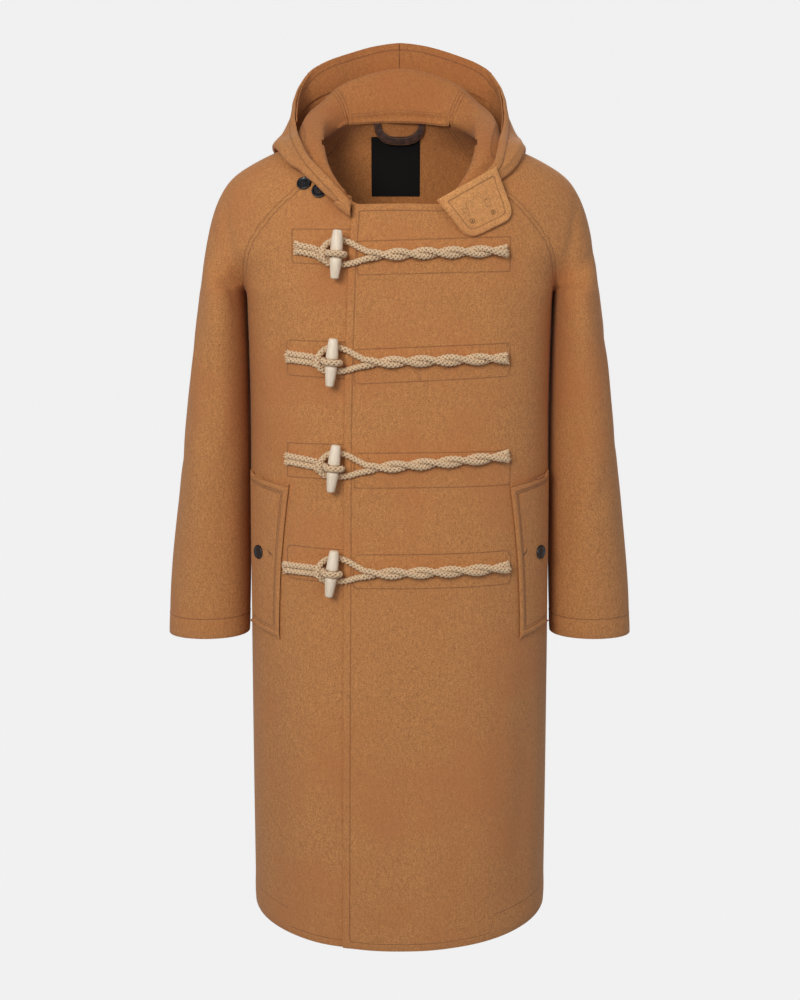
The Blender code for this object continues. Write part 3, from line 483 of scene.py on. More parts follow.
# soft folds: view, depth (a trough is under 0), half width, and points along the view's width and up, in mm
folds = (
    ("front", -2.0, 12, ((-249, -222), (-241, -245), (-236, -268))),
    ("front", -2.6, 10, ((-253, -122), (-247, -165), (-239, -205), (-232, -244))),
    ("front", -2.6, 10, ((256, -120), (249, -165), (241, -208), (234, -246))),
    ("front", -3.4, 19, ((-276, -300), (-268, -350), (-272, -410), (-280, -462))),
    ("front", 1.8, 22, ((-262, -300), (-256, -370), (-250, -440))),
    ("front", -1.6, 16, ((-283, -545), (-272, -575), (-262, -596))),
    ("front", 2.0, 22, ((-300, -470), (-292, -560), (-290, -650))),
    ("front", 2.0, 18, ((-296, -310), (-300, -360), (-304, -400))),
    ("front", -2.2, 13, ((287, -184), (270, -205), (251, -232))),
    ("front", -4.0, 26, ((262, -320), (258, -400), (255, -480), (248, -570), (246, -660))),
    ("front", 1.8, 22, ((300, -300), (305, -400), (312, -500))),
    ("front", -1.8, 15, ((312, -510), (300, -545), (286, -570))),
    ("front", -1.3, 17, ((52, -276), (82, -288), (112, -304))),
    ("front", -1.6, 12, ((158, -182), (168, -220))),
    ("front", -1.8, 17, ((-177, -262), (-174, -310), (-164, -405))),
    ("front", 1.2, 20, ((-140, -250), (-136, -300), (-142, -350))),
    ("front", -1.5, 30, ((40, -390), (36, -460), (30, -540))),
    ("front", 1.5, 26, ((100, -690), (108, -800), (118, -960), (126, -1160))),
    ("front", -2.0, 30, ((22, -760), (20, -900), (8, -1050), (4, -1180))),
    ("front", -2.6, 26, ((184, -790), (188, -900), (182, -1040), (178, -1160))),
    ("front", 1.8, 26, ((-128, -740), (-132, -900), (-138, -1130))),
    ("front", -2.2, 24, ((-180, -800), (-188, -930), (-186, -1150))),
    ("back", -2.6, 34, ((4, -330), (-6, -560), (8, -860), (2, -1160))),
    ("back", 2.8, 30, ((82, -480), (92, -700), (104, -940), (112, -1170))),
    ("back", 2.4, 34, ((-88, -520), (-96, -740), (-102, -980), (-116, -1160))),
    ("back", -2.4, 24, ((150, -300), (158, -470), (166, -690), (170, -900))),
    ("back", -2.8, 22, ((-146, -280), (-156, -450), (-160, -640))),
    ("back", -1.8, 16, ((172, -200), (134, -236), (92, -258))),
    ("back", -1.6, 17, ((-176, -205), (-140, -246), (-104, -262))),
    ("back", -2.2, 12, ((238, -330), (268, -342), (300, -336))),
    ("back", -2.4, 13, ((-236, -352), (-262, -366), (-298, -362))),
    ("back", -2.0, 14, ((240, -408), (276, -424), (304, -420))),
    ("back", -2.2, 18, ((-246, -430), (-270, -500), (-286, -560))),
    ("back", 1.6, 20, ((290, -470), (300, -570), (296, -680))),
    ("left", -2.2, 17, ((-44, -300), (-14, -340), (26, -372))),
    ("left", -1.8, 15, ((48, -430), (18, -452), (-16, -468))),
    ("left", 1.6, 22, ((6, -520), (10, -620), (4, -720))),
    ("right", -2.4, 16, ((-40, -330), (-8, -356), (30, -376))),
    ("right", -1.7, 18, ((46, -452), (14, -470), (-20, -500))),
    ("right", 1.8, 20, ((12, -560), (4, -650), (8, -730))),
)
foldDepth = 1.3  # all of them made this much deeper
views = {
    "front": (Vector((0, -2, 0)), Vector((1, 0, 0))),
    "back": (Vector((0, 2, 0)), Vector((1, 0, 0))),
    "left": (Vector((2, 0, 0)), Vector((0, 1, 0))),
    "right": (Vector((-2, 0, 0)), Vector((0, 1, 0))),
}


def rowAt(rows, place):
    # a smooth curve through rows of numbers, at a place counted in rows
    i = min(int(place), len(rows) - 2)
    t = place - i
    first, last = rows[max(0, i - 1)], rows[min(len(rows) - 1, i + 2)]
    found = []
    for a, b, c, d in zip(first, rows[i], rows[i + 1], last):
        bend = (2 * a - 5 * b + 4 * c - d) * t * t + (3 * (b - c) + d - a) * t**3
        found.append(b + ((c - a) * t + bend) / 2)
    return Vector(found)


def through(points, spacing):
    # points read at about the given spacing from a smooth curve through the given ones
    points = [Vector(point) for point in points]
    found = []
    for i in range(len(points) - 1):
        steps = max(1, round((points[i + 1] - points[i]).length / spacing))
        found += [rowAt(points, i + k / steps) for k in range(steps)]
    return found + [points[-1]]


def foldSamples(tree, view, line):
    eye, across = views[view]
    spots = through([(u / 1000, up / 1000) for u, up in line], 0.005)
    for i, (u, up) in enumerate(spots):
        hit, normal, _, _ = tree.ray_cast(eye + across * u + Vector((0, 0, up)), -eye.normalized())
        if hit:
            yield hit, normal, math.sin(math.pi * (i + 0.5) / len(spots)) ** 0.6


easing = {
    "rounds": 3,
    "more": 14,  # rounds where the rows crowd together
    "level": -0.246,
    "levelReach": 0.035,
    "neck": (0.114, 0.070, -0.022),
    "neckReach": 0.028,
}


def easeSkin(sheet):
    # the fine skin evened out, most of all where rows of the coarse one crowd together
    inner = [vert for vert in sheet.verts if not vert.is_boundary]
    level = [vert for vert in inner if abs(vert.co.z - easing["level"]) < easing["levelReach"]]
    x, y, z = easing["neck"]
    corners = [Vector((side * x, y, z)) for side in (-1, 1)]
    reach = easing["neckReach"]
    neck = [vert for vert in inner if min((vert.co - corner).length for corner in corners) < reach]
    axes = {"use_axis_x": True, "use_axis_y": True, "use_axis_z": True}
    for verts, rounds in ((inner, easing["rounds"]), (level, easing["more"]), (neck, easing["more"])):
        for _ in range(rounds):
            bmesh.ops.smooth_vert(sheet, verts=verts, factor=0.5, **axes)
    sheet.normal_update()


def pressFolds(sheet):
    tree = BVHTree.FromBMesh(sheet)
    corners = treeOf([vert.co for vert in sheet.verts])
    moves = [0.0] * len(sheet.verts)
    for view, depth, width, line in folds:
        width /= 1000
        near = {}
        for spot, normal, strength in foldSamples(tree, view, line):
            for _, i, distance in corners.find_range(spot, width * 2.1):
                if sheet.verts[i].normal.dot(normal) > 0.1:
                    value = strength * math.exp(-((distance / width) ** 2))
                    near[i] = max(near.get(i, 0), value)
        for i, value in near.items():
            moves[i] += foldDepth * depth / 1000 * value
    for vert, move, normal in zip(sheet.verts, moves, [vert.normal.copy() for vert in sheet.verts]):
        vert.co += normal * move
    sheet.normal_update()


skin = outerSkin()
fillSlits(skin)
print("skin:", len(skin.faces), "coarse faces")
skin = smoothed(skin, cloth["levels"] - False)
easeSkin(skin)
pressFolds(skin)
coat = BVHTree.FromBMesh(skin)
print("skin:", len(skin.faces), "faces, with", len(folds), "folds")

sewing = {
    "pitch": 0.0034,
    "stitch": 0.0026,
    "thread": 0.00042,
    "lift": 0.00008,  # of a stitch's middle from the cloth
    "boxStep": 0.003,
    "batch": 30,
    "reach": 0.0065,  # a line is looked for only this near to it
}
# how far the topstitching runs from each kind of edge, and the panels that carry it
margins = {
    "hem": 0.010,
    "cuff": 0.030,
    "neck": 0.010,
    "frontEdge": 0.0105,
    "hoodEdge": 0.012,
    "raglan": 0.0065,
    "hoodSeam": 0.0050,
}
hemSteps = {"right": -0.1617, "left": 0.1337, "depth": 0.037}  # the hem's stitching steps up outside these

# the sewn boxes that hold the ropes: x, top and foot at either end
leftBoxes = (
    (-0.0585, -0.1752, -0.2218, 0.1560, -0.1685, -0.2165),
    (-0.0640, -0.3255, -0.3738, 0.1570, -0.3170, -0.3640),
    (-0.0640, -0.4712, -0.5210, 0.1590, -0.4702, -0.5195),
    (-0.0660, -0.6162, -0.6650, 0.1610, -0.6150, -0.6640),
)
rightBoxes = (
    (-0.1510, -0.1580, -0.2048, -0.0600, -0.1584, -0.2088),
    (-0.1600, -0.3125, -0.3625, -0.0600, -0.3155, -0.3670),
    (-0.1610, -0.4590, -0.5078, -0.0600, -0.4600, -0.5090),
    (-0.1620, -0.6070, -0.6550, -0.0600, -0.6110, -0.6595),
)


def edgeKind(edge, names):
    # what an edge of the skin is sewn as, or None
    low, high = sorted((vert.co for vert in edge.verts), key=lambda co: co.z)
    panels = sorted({names[face.material_index] for face in edge.link_faces})
    if len(panels) == 2:
        if panels[0] in ("back", "front_left", "front_right") and panels[1].startswith("sleeve"):
            return "raglan"
        if panels[0].startswith("hood") and panels[1].startswith("hood"):
            return "hoodSeam"
        return None
    if len(edge.link_faces) == 2:
        return None
    upright = high.z - low.z > Vector((high.x - low.x, high.y - low.y)).length
    if panels[0].startswith("hood"):
        return "hoodEdge"
    if panels[0].startswith("sleeve"):
        return "cuff"
    if panels[0].startswith("front") and (upright or low.z > -0.2):
        return "frontEdge" if upright else "neck"
    return "hem"


def spread(points, spacing=0.001):
    # points along a line of two ends
    a, b = points
    steps = max(1, int((b - a).length / spacing))
    return [a.lerp(b, i / steps) for i in range(steps)]


def sewnBorders(sheet, names):
    # each panel's sewn edges as search trees, by kind
    found = {name: {} for name in names}
    for edge in sheet.edges:
        kind = edgeKind(edge, names)
        for name in {names[face.material_index] for face in edge.link_faces} if kind else ():
            found[name].setdefault(kind, []).extend(spread([vert.co for vert in edge.verts]))
    return {name: {kind: treeOf(points) for kind, points in kinds.items()} for name, kinds in found.items()}


def hemMargin(point):
    outside = max(hemSteps["right"] - point.x, point.x - hemSteps["left"])
    deep = softStep(outside / 0.002) if point.y < 0 else 1
    return blendOf(margins["hem"], hemSteps["depth"], deep)


def boxDistance(point, boxes):
    # how far a point is outside the nearest sewn box, seen from the front
    best = 1.0
    for x0, top0, foot0, x1, top1, foot1 in boxes:
        t = (point.x - x0) / (x1 - x0)
        top, foot = blendOf(top0, top1, t), blendOf(foot0, foot1, t)
        away = max(foot - point.z, point.z - top, x0 - point.x, point.x - x1)
        if abs(away) < abs(best):
            best = away
    return best


def markSewing(sheet, name, borders):
    # where each corner lies from the topstitching, stored for the finish and the stitches
    hemline = sheet.verts.layers.float.new("hemline")
    patch = sheet.verts.layers.float.new("patch")
    seam = sheet.verts.layers.float.new("seam")
    boxes = {"front_left": leftBoxes, "front_right": rightBoxes}.get(name)
    for vert in sheet.verts:
        least = 1.0
        for kind, tree in borders.items():
            away = tree.find(vert.co)[2]
            # nearness to a seam, which the wool finish presses in and paints darker as shade
            if kind in ("raglan", "hoodSeam"):
                vert[seam] = max(vert[seam], 1 - away / 0.0045)
            if kind == "raglan" and name.startswith("sleeve"):
                continue
            margin = hemMargin(vert.co) if kind == "hem" else margins[kind]
            least = min(least, away - margin)
        vert[hemline] = least
        vert[patch] = boxDistance(vert.co, boxes) if boxes and vert.co.y < 0 else 1.0


def linesOn(sheet, layerName):
    # chains of points and normals where a stored distance is zero
    layer = sheet.verts.layers.float[layerName]
    crossings = {}
    for edge in sheet.edges:
        a, b = edge.verts
        if a[layer] * b[layer] < 0 and max(abs(a[layer]), abs(b[layer])) < sewing["reach"]:
            share = a[layer] / (a[layer] - b[layer])
            crossings[edge] = (a.co.lerp(b.co, share), a.normal.lerp(b.normal, share).normalized())
    beside = {edge: [] for edge in crossings}
    for edge in crossings:
        for face in edge.link_faces:
            ends = [other for other in face.edges if other in crossings and other is not edge]
            if len(ends) == 1:
                beside[edge].append(ends[0])
    left = dict.fromkeys(sorted(crossings, key=lambda edge: (len(beside[edge]), edge.index)))
    chains = []
    while left:
        at = next(iter(left))
        chain = []
        while at in left:
            del left[at]
            chain.append(crossings[at])
            at = next((other for other in beside[at] if other in left), None)
        if len(chain) > 3:
            chains.append(chain)
    return chains


def addStitch(stitches, place, along, out, length, width=None):
    side = out.cross(along).normalized()
    turn = Matrix((along, side, out)).transposed().to_4x4()
    size = Matrix.Diagonal((length / 2, width or sewing["thread"], sewing["thread"], 1))
    stitches.append(Matrix.Translation(place) @ turn @ size)


def stitched(stitches):
    # one mesh of all the stitches, put together a few at a time
    whole = bmesh.new()
    for start in range(0, len(stitches), sewing["batch"]):
        few = bmesh.new()
        for at in stitches[start : start + sewing["batch"]]:
            bmesh.ops.create_uvsphere(few, u_segments=5, v_segments=3, radius=1, matrix=at)
        data = meshOf("stitches", few)
        whole.from_mesh(data)
        bpy.data.meshes.remove(data)
    return whole


def sewChain(stitches, chain, pitch=None, length=None):
    # a stitch at every pitch along a chain
    pitch = pitch or sewing["pitch"]
    wanted = pitch / 2
    gone = 0.0
    for (a, normal), (b, _) in zip(chain, chain[1:]):
        step = (b - a).length
        while step and wanted < gone + step:
            place = a.lerp(b, (wanted - gone) / step)
            place += normal * sewing["lift"]
            addStitch(stitches, place, (b - a) / step, normal, length or sewing["stitch"])
            wanted += pitch
        gone += step


def threadOf(dark, light, twists, roughness, depth):
    # a finish of two tones twisted together
    def make(graph):
        twist = graph.noise(graph.place(), twists, 2.0)
        return graph.mixed((*dark, 1), (*light, 1), twist), roughness + twist * 0.1, twist * depth
    return make


# painted shade: the topstitching thread is coloured darker than the wool it matches, as the shade of stitches
# sunk into the cloth
tanThreadShaded = threadOf((0.215, 0.085, 0.032), (0.340, 0.145, 0.056), 1500, 0.75, 0.00005)
blackThread = threadOf((0.012, 0.012, 0.016), (0.030, 0.030, 0.036), 1800, 0.7, 0.00003)
brownThread = threadOf((0.040, 0.018, 0.009), (0.090, 0.038, 0.017), 1500, 0.8, 0.00004)
thread = surfaced("thread", tanThreadShaded, {"Sheen Weight": 0.1})
darkThread = surfaced("dark thread", blackThread, {"Sheen Weight": 0.1})
# real buttonhole thread, also used for the dark painted shadow inside the buttonholes
shadowThread = surfaced("buttonhole thread and slit shadow", brownThread, {"Sheen Weight": 0.05})


def thickened(piece, thickness, edge):
    shell = piece.modifiers.new("thickness", "SOLIDIFY")
    shell.thickness = thickness
    shell.offset = -1
    shell.use_even_offset = False
    rim = piece.modifiers.new("soft edge", "BEVEL")
    rim.width = edge
    rim.segments = 2
    rim.limit_method = "ANGLE"
    rim.angle_limit = math.radians(55)
    # the inner side takes the copy of the wool painted darker as shade
    if piece.data.materials[0] == wool:
        piece.data.materials.append(woolInsideShaded)
        shell.material_offset = 1


def onSheet(tree, x, z):
    # where a line from the front meets a sheet
    hit, normal, _, _ = tree.ray_cast(Vector((x, -1, z)), Vector((0, 1, 0)))
    return hit, normal


def lineOn(tree, start, end, steps):
    # places in a row on a sheet, between two points seen from the front
    (x0, z0), (x1, z1) = start, end
    shares = [i / steps for i in range(steps + 1)]
    return [onSheet(tree, blendOf(x0, x1, share), blendOf(z0, z1, share)) for share in shares]


def sewBoxes(stitches, sheet, boxes):
    # stitches straight along the sides of the boxes round the cords
    tree = BVHTree.FromBMesh(sheet)
    for x0, top0, foot0, x1, top1, foot1 in boxes:
        corners = ((x0, top0), (x1, top1), (x1, foot1), (x0, foot0), (x0, top0))
        for start, end in zip(corners, corners[1:]):
            steps = max(2, round(math.hypot(end[0] - start[0], end[1] - start[1]) / sewing["boxStep"]))
            sewChain(stitches, [spot for spot in lineOn(tree, start, end, steps) if spot[0]])


def sewnOn(name, sheet, boxes=()):
    # all the stitches that a sheet's stored distances and boxes ask for
    stitches = []
    for layer in ("hemline",) if boxes else ("hemline", "patch"):
        for chain in linesOn(sheet, layer):
            sewChain(stitches, chain)
    sewBoxes(stitches, sheet, boxes)
    if stitches:
        placed("stitching_" + name, stitched(stitches), thread)


swells = {"hoodEdge": 0.0024, "frontEdge": 0.0010, "neck": 0.0010, "hem": 0.0007, "cuff": 0.0004}


def swellEdges(sheet, borders):
    # the doubled cloth between an edge and its stitching stands a little proud
    ways = [vert.normal.copy() for vert in sheet.verts]
    for vert, way in zip(sheet.verts, ways):
        rise = 0.0
        for kind, tree in borders.items():
            if kind in swells:
                width = hemMargin(vert.co) if kind == "hem" else margins[kind]
                depth = tree.find(vert.co)[2] / width
                rise = max(rise, swells[kind] * math.sin(math.pi * min(1, depth)) ** 0.6)
        vert.co += way * rise
    sheet.normal_update()


def addCloth(name, title, sheet, finish, edge, thickness, hides):
    piece = placed(title, sheet, finish, hides)
    thickened(piece, thickness, edge)
    panels[name] = piece


def addPanels():
    names = cloth["panels"]
    borders = sewnBorders(skin, names)
    for number, name in enumerate(names):
        sheet = skin.copy()
        others = [face for face in sheet.faces if face.material_index != number]
        bmesh.ops.delete(sheet, geom=others, context="FACES")
        for face in sheet.faces:
            face.material_index = 0
        markSewing(sheet, name, borders[name])
        swellEdges(sheet, borders[name])
        sewnOn(name, sheet, {"front_left": leftBoxes, "front_right": rightBoxes}.get(name, ()))
        addCloth(name, name + "_cloth", sheet, wool, cloth["edge"], cloth["thickness"], [name])
    print("panels:", len(panels))


panels = {}
addPanels()

rope = {
    "core": 0.00265,
    "weave": 0.00070,
    "strand": 0.00165,
    "strands": 3,  # each way
    "turn": 345,  # radians per metre
    "step": 0.0015,
    "pair": 0.0043,
    "lift": 0.0043,
    "bend": 0.029,
    "twistStart": 0.044,
    "halfTwists": 5,
    "twistPoints": 4,
    "spacing": 0.007,
    "tuft": 56,
    "tuftWidth": 0.34,  # of a strand's
    "hairEvery": 6,  # steps
    "hairReach": 0.0034,
    "hairWidth": 0.06,
    "trim": 3,  # steps left out at either end, where the fibres come free
}
# each toggle's x, z and lean in degrees, then x and z of the sewn ends of its short and its long rope
fastenings = (
    (-0.0863, -0.1951, 4, -0.1470, -0.1835, 0.1478, -0.1885),
    (-0.0926, -0.3432, 5, -0.1600, -0.3352, 0.1492, -0.3376),
    (-0.0903, -0.4920, 7, -0.1610, -0.4810, 0.1512, -0.4768),
    (-0.0930, -0.6420, 7, -0.1655, -0.6391, 0.1535, -0.6379),
)
# points of the cords round a toggle: right, up and away from the cloth
shortRoute = (
    (-0.0230, 0.0043, 0.0048),
    (-0.0175, 0.0041, 0.0060),
    (-0.0125, 0.0030, 0.0136),
    (-0.0080, 0.0014, 0.0258),
    (0.0000, 0.0002, 0.0292),
    (0.0085, -0.0004, 0.0258),
    (0.0112, -0.0004, 0.0180),
    (0.0075, -0.0006, 0.0105),
    (0.0000, -0.0012, 0.0085),
    (-0.0080, -0.0030, 0.0084),
    (-0.0140, -0.0043, 0.0060),
    (-0.0230, -0.0043, 0.0048),
)
loopRoute = (
    (0.0320, 0.0100, 0.0048),
    (0.0200, 0.0165, 0.0048),
    (0.0080, 0.0205, 0.0048),
    (-0.0050, 0.0205, 0.0058),
    (-0.0145, 0.0150, 0.0100),
    (-0.0195, 0.0060, 0.0142),
    (-0.0190, -0.0040, 0.0142),
    (-0.0140, -0.0100, 0.0104),
    (-0.0040, -0.0125, 0.0058),
    (0.0070, -0.0125, 0.0048),
    (0.0190, -0.0110, 0.0048),
    (0.0320, -0.0070, 0.0048),
)


def onFront(x, z, away):
    # a point over the coat's front, level with the wearer's left side where that is further out
    hit, normal, _, _ = coat.ray_cast(Vector((abs(x), -1, z)), Vector((0, 1, 0)))
    if x < 0:
        hit, normal = Vector((x, hit.y, z)), Vector((-normal.x, normal.y, normal.z))
    return hit + normal * away, normal


def shortCordRoute(row):
    x, z, _, endX, endZ, _, _ = row
    bendX, bendZ, lift, pair = x - rope["bend"], blendOf(endZ, z, 0.6), rope["lift"], rope["pair"]
    route = [(endX, endZ + pair, lift), (bendX, bendZ + pair, lift)]
    route += [(x + right, z + up, away) for right, up, away in shortRoute]
    return through(route + [(bendX, bendZ - pair, lift), (endX, endZ - pair, lift)], rope["spacing"])


def loopCordRoute(row):
    x, z, _, _, _, endX, endZ = row
    strands = ([], [])
    count = rope["halfTwists"] * rope["twistPoints"]
    for i in range(count + 1):
        share = i / count
        turn = math.pi * rope["halfTwists"] * share
        for strand, sign in zip(strands, (1, -1)):
            across = blendOf(x + rope["twistStart"], endX, share)
            up = blendOf(z, endZ, share) + sign * rope["pair"] * math.cos(turn)
            strand.append((across, up, rope["lift"] + rope["pair"] * (1 + sign * math.sin(turn))))
    route = [(x + right, z + up, away) for right, up, away in loopRoute]
    loop = through([strands[0][0]] + route + [strands[1][0]], rope["spacing"])
    return strands[0][:0:-1] + loop + strands[1][1:]


def addStrand(curve, points, width):
    spline = curve.splines.new("POLY")
    spline.points.add(len(points) - 1)
    for target, point in zip(spline.points, points):
        target.co = (*point, 1)
        target.radius = width


def ropeFrames(points):
    # a point, a way across and a way up at each step, turning as little as possible
    across = Vector((0, 0, 1))
    for i, point in enumerate(points):
        along = (points[min(i + 1, len(points) - 1)] - points[max(i - 1, 0)]).normalized()
        across = (across - along * across.dot(along)).normalized()
        yield point, across, along.cross(across)


def addRope(name, route, dice):
    # a round braid, its strands winding both ways, with loose fibres and frayed ends
    line = through([onFront(*point)[0] for point in route], rope["step"])[rope["trim"] : -rope["trim"]]
    curve = bpy.data.curves.new(name, "CURVE")
    curve.dimensions = "3D"
    curve.bevel_depth = rope["strand"]
    curve.bevel_resolution = 1
    curve.use_fill_caps = True
    frames = list(ropeFrames(line))
    for way in (1, -1):
        for k in range(rope["strands"]):
            strand = []
            for i, (point, across, up) in enumerate(frames):
                turned = rope["turn"] * rope["step"] * i
                angle = way * turned + 2 * math.pi * k / rope["strands"]
                radius = rope["core"] + way * rope["weave"] * math.cos(rope["strands"] * turned)
                strand.append(point + (across * math.cos(angle) + up * math.sin(angle)) * radius)
            addStrand(curve, strand, 1.0)
    for i in range(0, len(frames) - 1, rope["hairEvery"]):
        addHair(curve, frames[i], dice)
    for end, inner in ((0, 3), (-1, -4)):
        away = (frames[end][0] - frames[inner][0]).normalized()
        for _ in range(rope["tuft"]):
            addTuft(curve, frames[end], away, dice)
    made = finalMesh(linked(name, curve))
    axis = treeOf(line)
    # each corner's distance from the rope's middle, which the jute finish paints darker as shade where it is
    # small
    out = made.verts.layers.float.new("out")
    for vert in made.verts:
        vert[out] = axis.find(vert.co)[2]
    placed(name.replace("cord", "rope"), made, jute, [name])


def wayOut(frame, dice):
    # a random way out from the rope's middle
    _, across, up = frame
    angle = dice.uniform(0, 2 * math.pi)
    return across * math.cos(angle) + up * math.sin(angle)


def addHair(curve, frame, dice):
    point, across, up = frame
    reach = rope["hairReach"]
    out = wayOut(frame, dice)
    along = across.cross(up) * dice.choice((-1, 1))
    start = point + out * (rope["core"] + rope["strand"] * 0.7)
    middle = start + along * reach * 0.5 + out * reach * dice.uniform(0.15, 0.35)
    tip = middle + along * reach * 0.5 + out * reach * dice.uniform(-0.1, 0.3)
    addStrand(curve, [start, middle, tip], rope["hairWidth"])


def addTuft(curve, frame, away, dice):
    out = wayOut(frame, dice)
    radius = (rope["core"] + rope["strand"]) * dice.uniform(0.1, 1.0)
    start = frame[0] + out * radius - away * 0.002
    length = dice.uniform(0.0035, 0.0072)
    flare = out * length * dice.uniform(-0.05, 0.36)
    middle = start + away * length * 0.6 + flare * 0.4
    addStrand(curve, [start, middle, start + away * length + flare], rope["tuftWidth"])


def juteFinish(graph):
    place = graph.place()
    fibre = graph.noise(place, 1300, 3.0, 0.7)
    patch = graph.noise(place, 210, 2.0, 0.6)
    mix = graph.mixed((0.380, 0.220, 0.105, 1), (0.840, 0.610, 0.385, 1), fibre.over(0.24, 0.56))
    mix = graph.mixed(mix, (0.740, 0.520, 0.300, 1), patch.over(0.35, 0.75) * 0.4)
    # painted shade: the jute darker where it lies deep between the strands, near the rope's middle
    creviceShade = 1 - graph.stored("out").over(0.0031, 0.0044)
    mix = graph.mixed(mix, (0.330, 0.190, 0.085, 1), creviceShade * 0.60)
    return mix, 0.78 + fibre * 0.15, fibre * 0.00022


jute = surfaced("jute", juteFinish, {"Sheen Weight": 0.15})
dice = random.Random(11)
for number, row in enumerate(fastenings, 1):
    addRope(f"short_cord_{number}", shortCordRoute(row), dice)
    addRope(f"loop_cord_{number}", loopCordRoute(row), dice)
print("ropes:", 2 * len(fastenings))

toggle = {
    "lift": 0.0185,
    # along the toggle and out from its axis
    "profile": (
        (-0.0340, 0.0028),
        (-0.0338, 0.0040),
        (-0.0331, 0.0052),
        (-0.0318, 0.0058),
        (-0.0210, 0.0072),
        (-0.0110, 0.0082),
        (-0.0066, 0.0085),
        (-0.0055, 0.0080),
        (-0.0047, 0.0063),
        (0.0000, 0.0059),
        (0.0047, 0.0063),
        (0.0055, 0.0081),
        (0.0066, 0.0087),
        (0.0130, 0.0084),
        (0.0230, 0.0077),
        (0.0316, 0.0067),
        (0.0331, 0.0060),
        (0.0338, 0.0048),
        (0.0340, 0.0034),
    ),
}


def spun(points, steps, weld):
    # a surface turned about Z from a line of points
    mesh = bmesh.new()
    verts = [mesh.verts.new(point) for point in points]
    edges = [mesh.edges.new(pair) for pair in zip(verts, verts[1:])]
    circle = {"axis": (0, 0, 1), "cent": (0, 0, 0), "angle": 2 * math.pi, "steps": steps}
    bmesh.ops.spin(mesh, geom=verts + edges, use_merge=True, **circle)
    bmesh.ops.remove_doubles(mesh, verts=mesh.verts, dist=weld)
    bmesh.ops.recalc_face_normals(mesh, faces=mesh.faces)
    return mesh


def turned(profile, steps=40):
    # a solid turned about Z from rows of height and radius
    first, last = profile[0][0], profile[-1][0]
    points = [(0, 0, first)] + [(radius, 0, height) for height, radius in profile] + [(0, 0, last)]
    return spun(points, steps, cloth["weld"])


def woodFinish(graph):
    place = graph.place()
    grain = graph.noise(graph.stretched(place, (520, 520, 34)), 1.0, 4.0, 0.6)
    pores = graph.noise(graph.stretched(place, (2600, 2600, 260)), 1.0, 2.0, 0.6)
    mix = graph.mixed((0.720, 0.580, 0.420, 1), (0.860, 0.730, 0.580, 1), grain.over(0.25, 0.65))
    mix = graph.mixed(mix, (0.560, 0.400, 0.250, 1), pores.over(0.62, 0.80) * 0.3)
    return mix, 0.42 + grain * 0.18, grain * 0.00008 - pores.over(0.60, 0.78) * 0.00005


paleWood = surfaced("pale wood", woodFinish, {"Coat Weight": 0.08, "Coat Roughness": 0.4})
for number, row in enumerate(fastenings, 1):
    centre, _ = onFront(row[0], row[1], toggle["lift"])
    mesh = turned(toggle["profile"])
    lean = Matrix.Translation(centre) @ Matrix.Rotation(math.radians(row[2]), 4, "Y")
    bmesh.ops.transform(mesh, matrix=lean, verts=mesh.verts)
    placed(f"turned_toggle_{number}", mesh, paleWood, [f"toggle_{number}"])
print("toggles:", len(fastenings))

button = {
    "profile": (
        (0.0000, 0.0092),
        (0.0006, 0.0101),
        (0.0016, 0.0105),
        (0.0027, 0.0104),
        (0.0034, 0.0098),
        (0.0036, 0.0090),
        (0.0033, 0.0083),
        (0.0026, 0.0077),
        (0.0023, 0.0066),
        (0.0024, 0.0030),
        (0.0024, 0.0010),
    ),
    "hole": 0.0011,
    "holeOut": 0.0022,
}


def hornFinish(graph):
    place = graph.place()
    streak = graph.noise(graph.stretched(place, (1.0, 1.0, 0.3)), 160, 3.0)
    mix = graph.mixed((0.0030, 0.0034, 0.0055, 1), (0.0110, 0.0110, 0.0160, 1), streak.over(0.45, 0.75))
    scuff = graph.noise(place, 1600, 2.0)
    return mix, 0.22 + scuff * 0.16, scuff * 0.00002


polish = {"Coat Weight": 0.15, "Coat Roughness": 0.2, "Specular IOR Level": 0.35}
horn = surfaced("dark horn", hornFinish, polish)


def seatOf(name):
    # a round node's middle, and the way along its shortest side
    points = [vert.co.copy() for vert in nodes[name].data.vertices]
    centre = sum(points, Vector()) / len(points)
    best = None
    for azimuth in range(-90, 91, 3):
        for rise in range(-75, 76, 3):
            a, b = math.radians(azimuth), math.radians(rise)
            way = Vector((math.sin(a) * math.cos(b), -math.cos(a) * math.cos(b), math.sin(b)))
            reach = max(abs((point - centre).dot(way)) for point in points)
            if best is None or reach < best[0]:
                best = (reach, way)
    reach, way = best
    return centre - way * reach, way


def addButton(name):
    base, out = seatOf(name)
    blank = linked(name, meshOf(name, turned(button["profile"], 48)))
    drills = bmesh.new()
    for k in range(4):
        angle = math.pi / 4 + k * math.pi / 2
        spot = (math.cos(angle) * button["holeOut"], math.sin(angle) * button["holeOut"], 0.0018)
        bmesh.ops.create_cone(
            drills, cap_ends=True, segments=12, radius1=button["hole"], radius2=button["hole"], depth=0.008,
            matrix=Matrix.Translation(spot),
        )
    drill = linked("drills", meshOf("drills", drills))
    cut = blank.modifiers.new("holes", "BOOLEAN")
    cut.operation = "DIFFERENCE"
    cut.solver = "EXACT"
    cut.object = drill
    mesh = finalMesh(blank)
    bpy.data.objects.remove(drill)
    turn = Matrix.Translation(base) @ out.to_track_quat("Z", "Y").to_matrix().to_4x4()
    bmesh.ops.transform(mesh, matrix=turn, verts=mesh.verts)
    made = placed("turned_" + name, mesh, horn, [name])
    made.data.set_sharp_from_angle(angle=math.radians(40))
    sewn = []
    for side in (-1, 1):
        for shift in (-0.0004, 0.0004):
            spot = turn @ Vector((side * 0.00156 + shift, 0, 0.0025))
            addStitch(sewn, spot, turn.to_3x3() @ Vector((0, 1, 0)), out, 0.0046)
    placed("thread_" + name, stitched(sewn), darkThread)


for name in ("pocket_button_left", "pocket_button_right", "tab_button_1", "tab_button_2"):
    addButton(name)
print("buttons: 4")

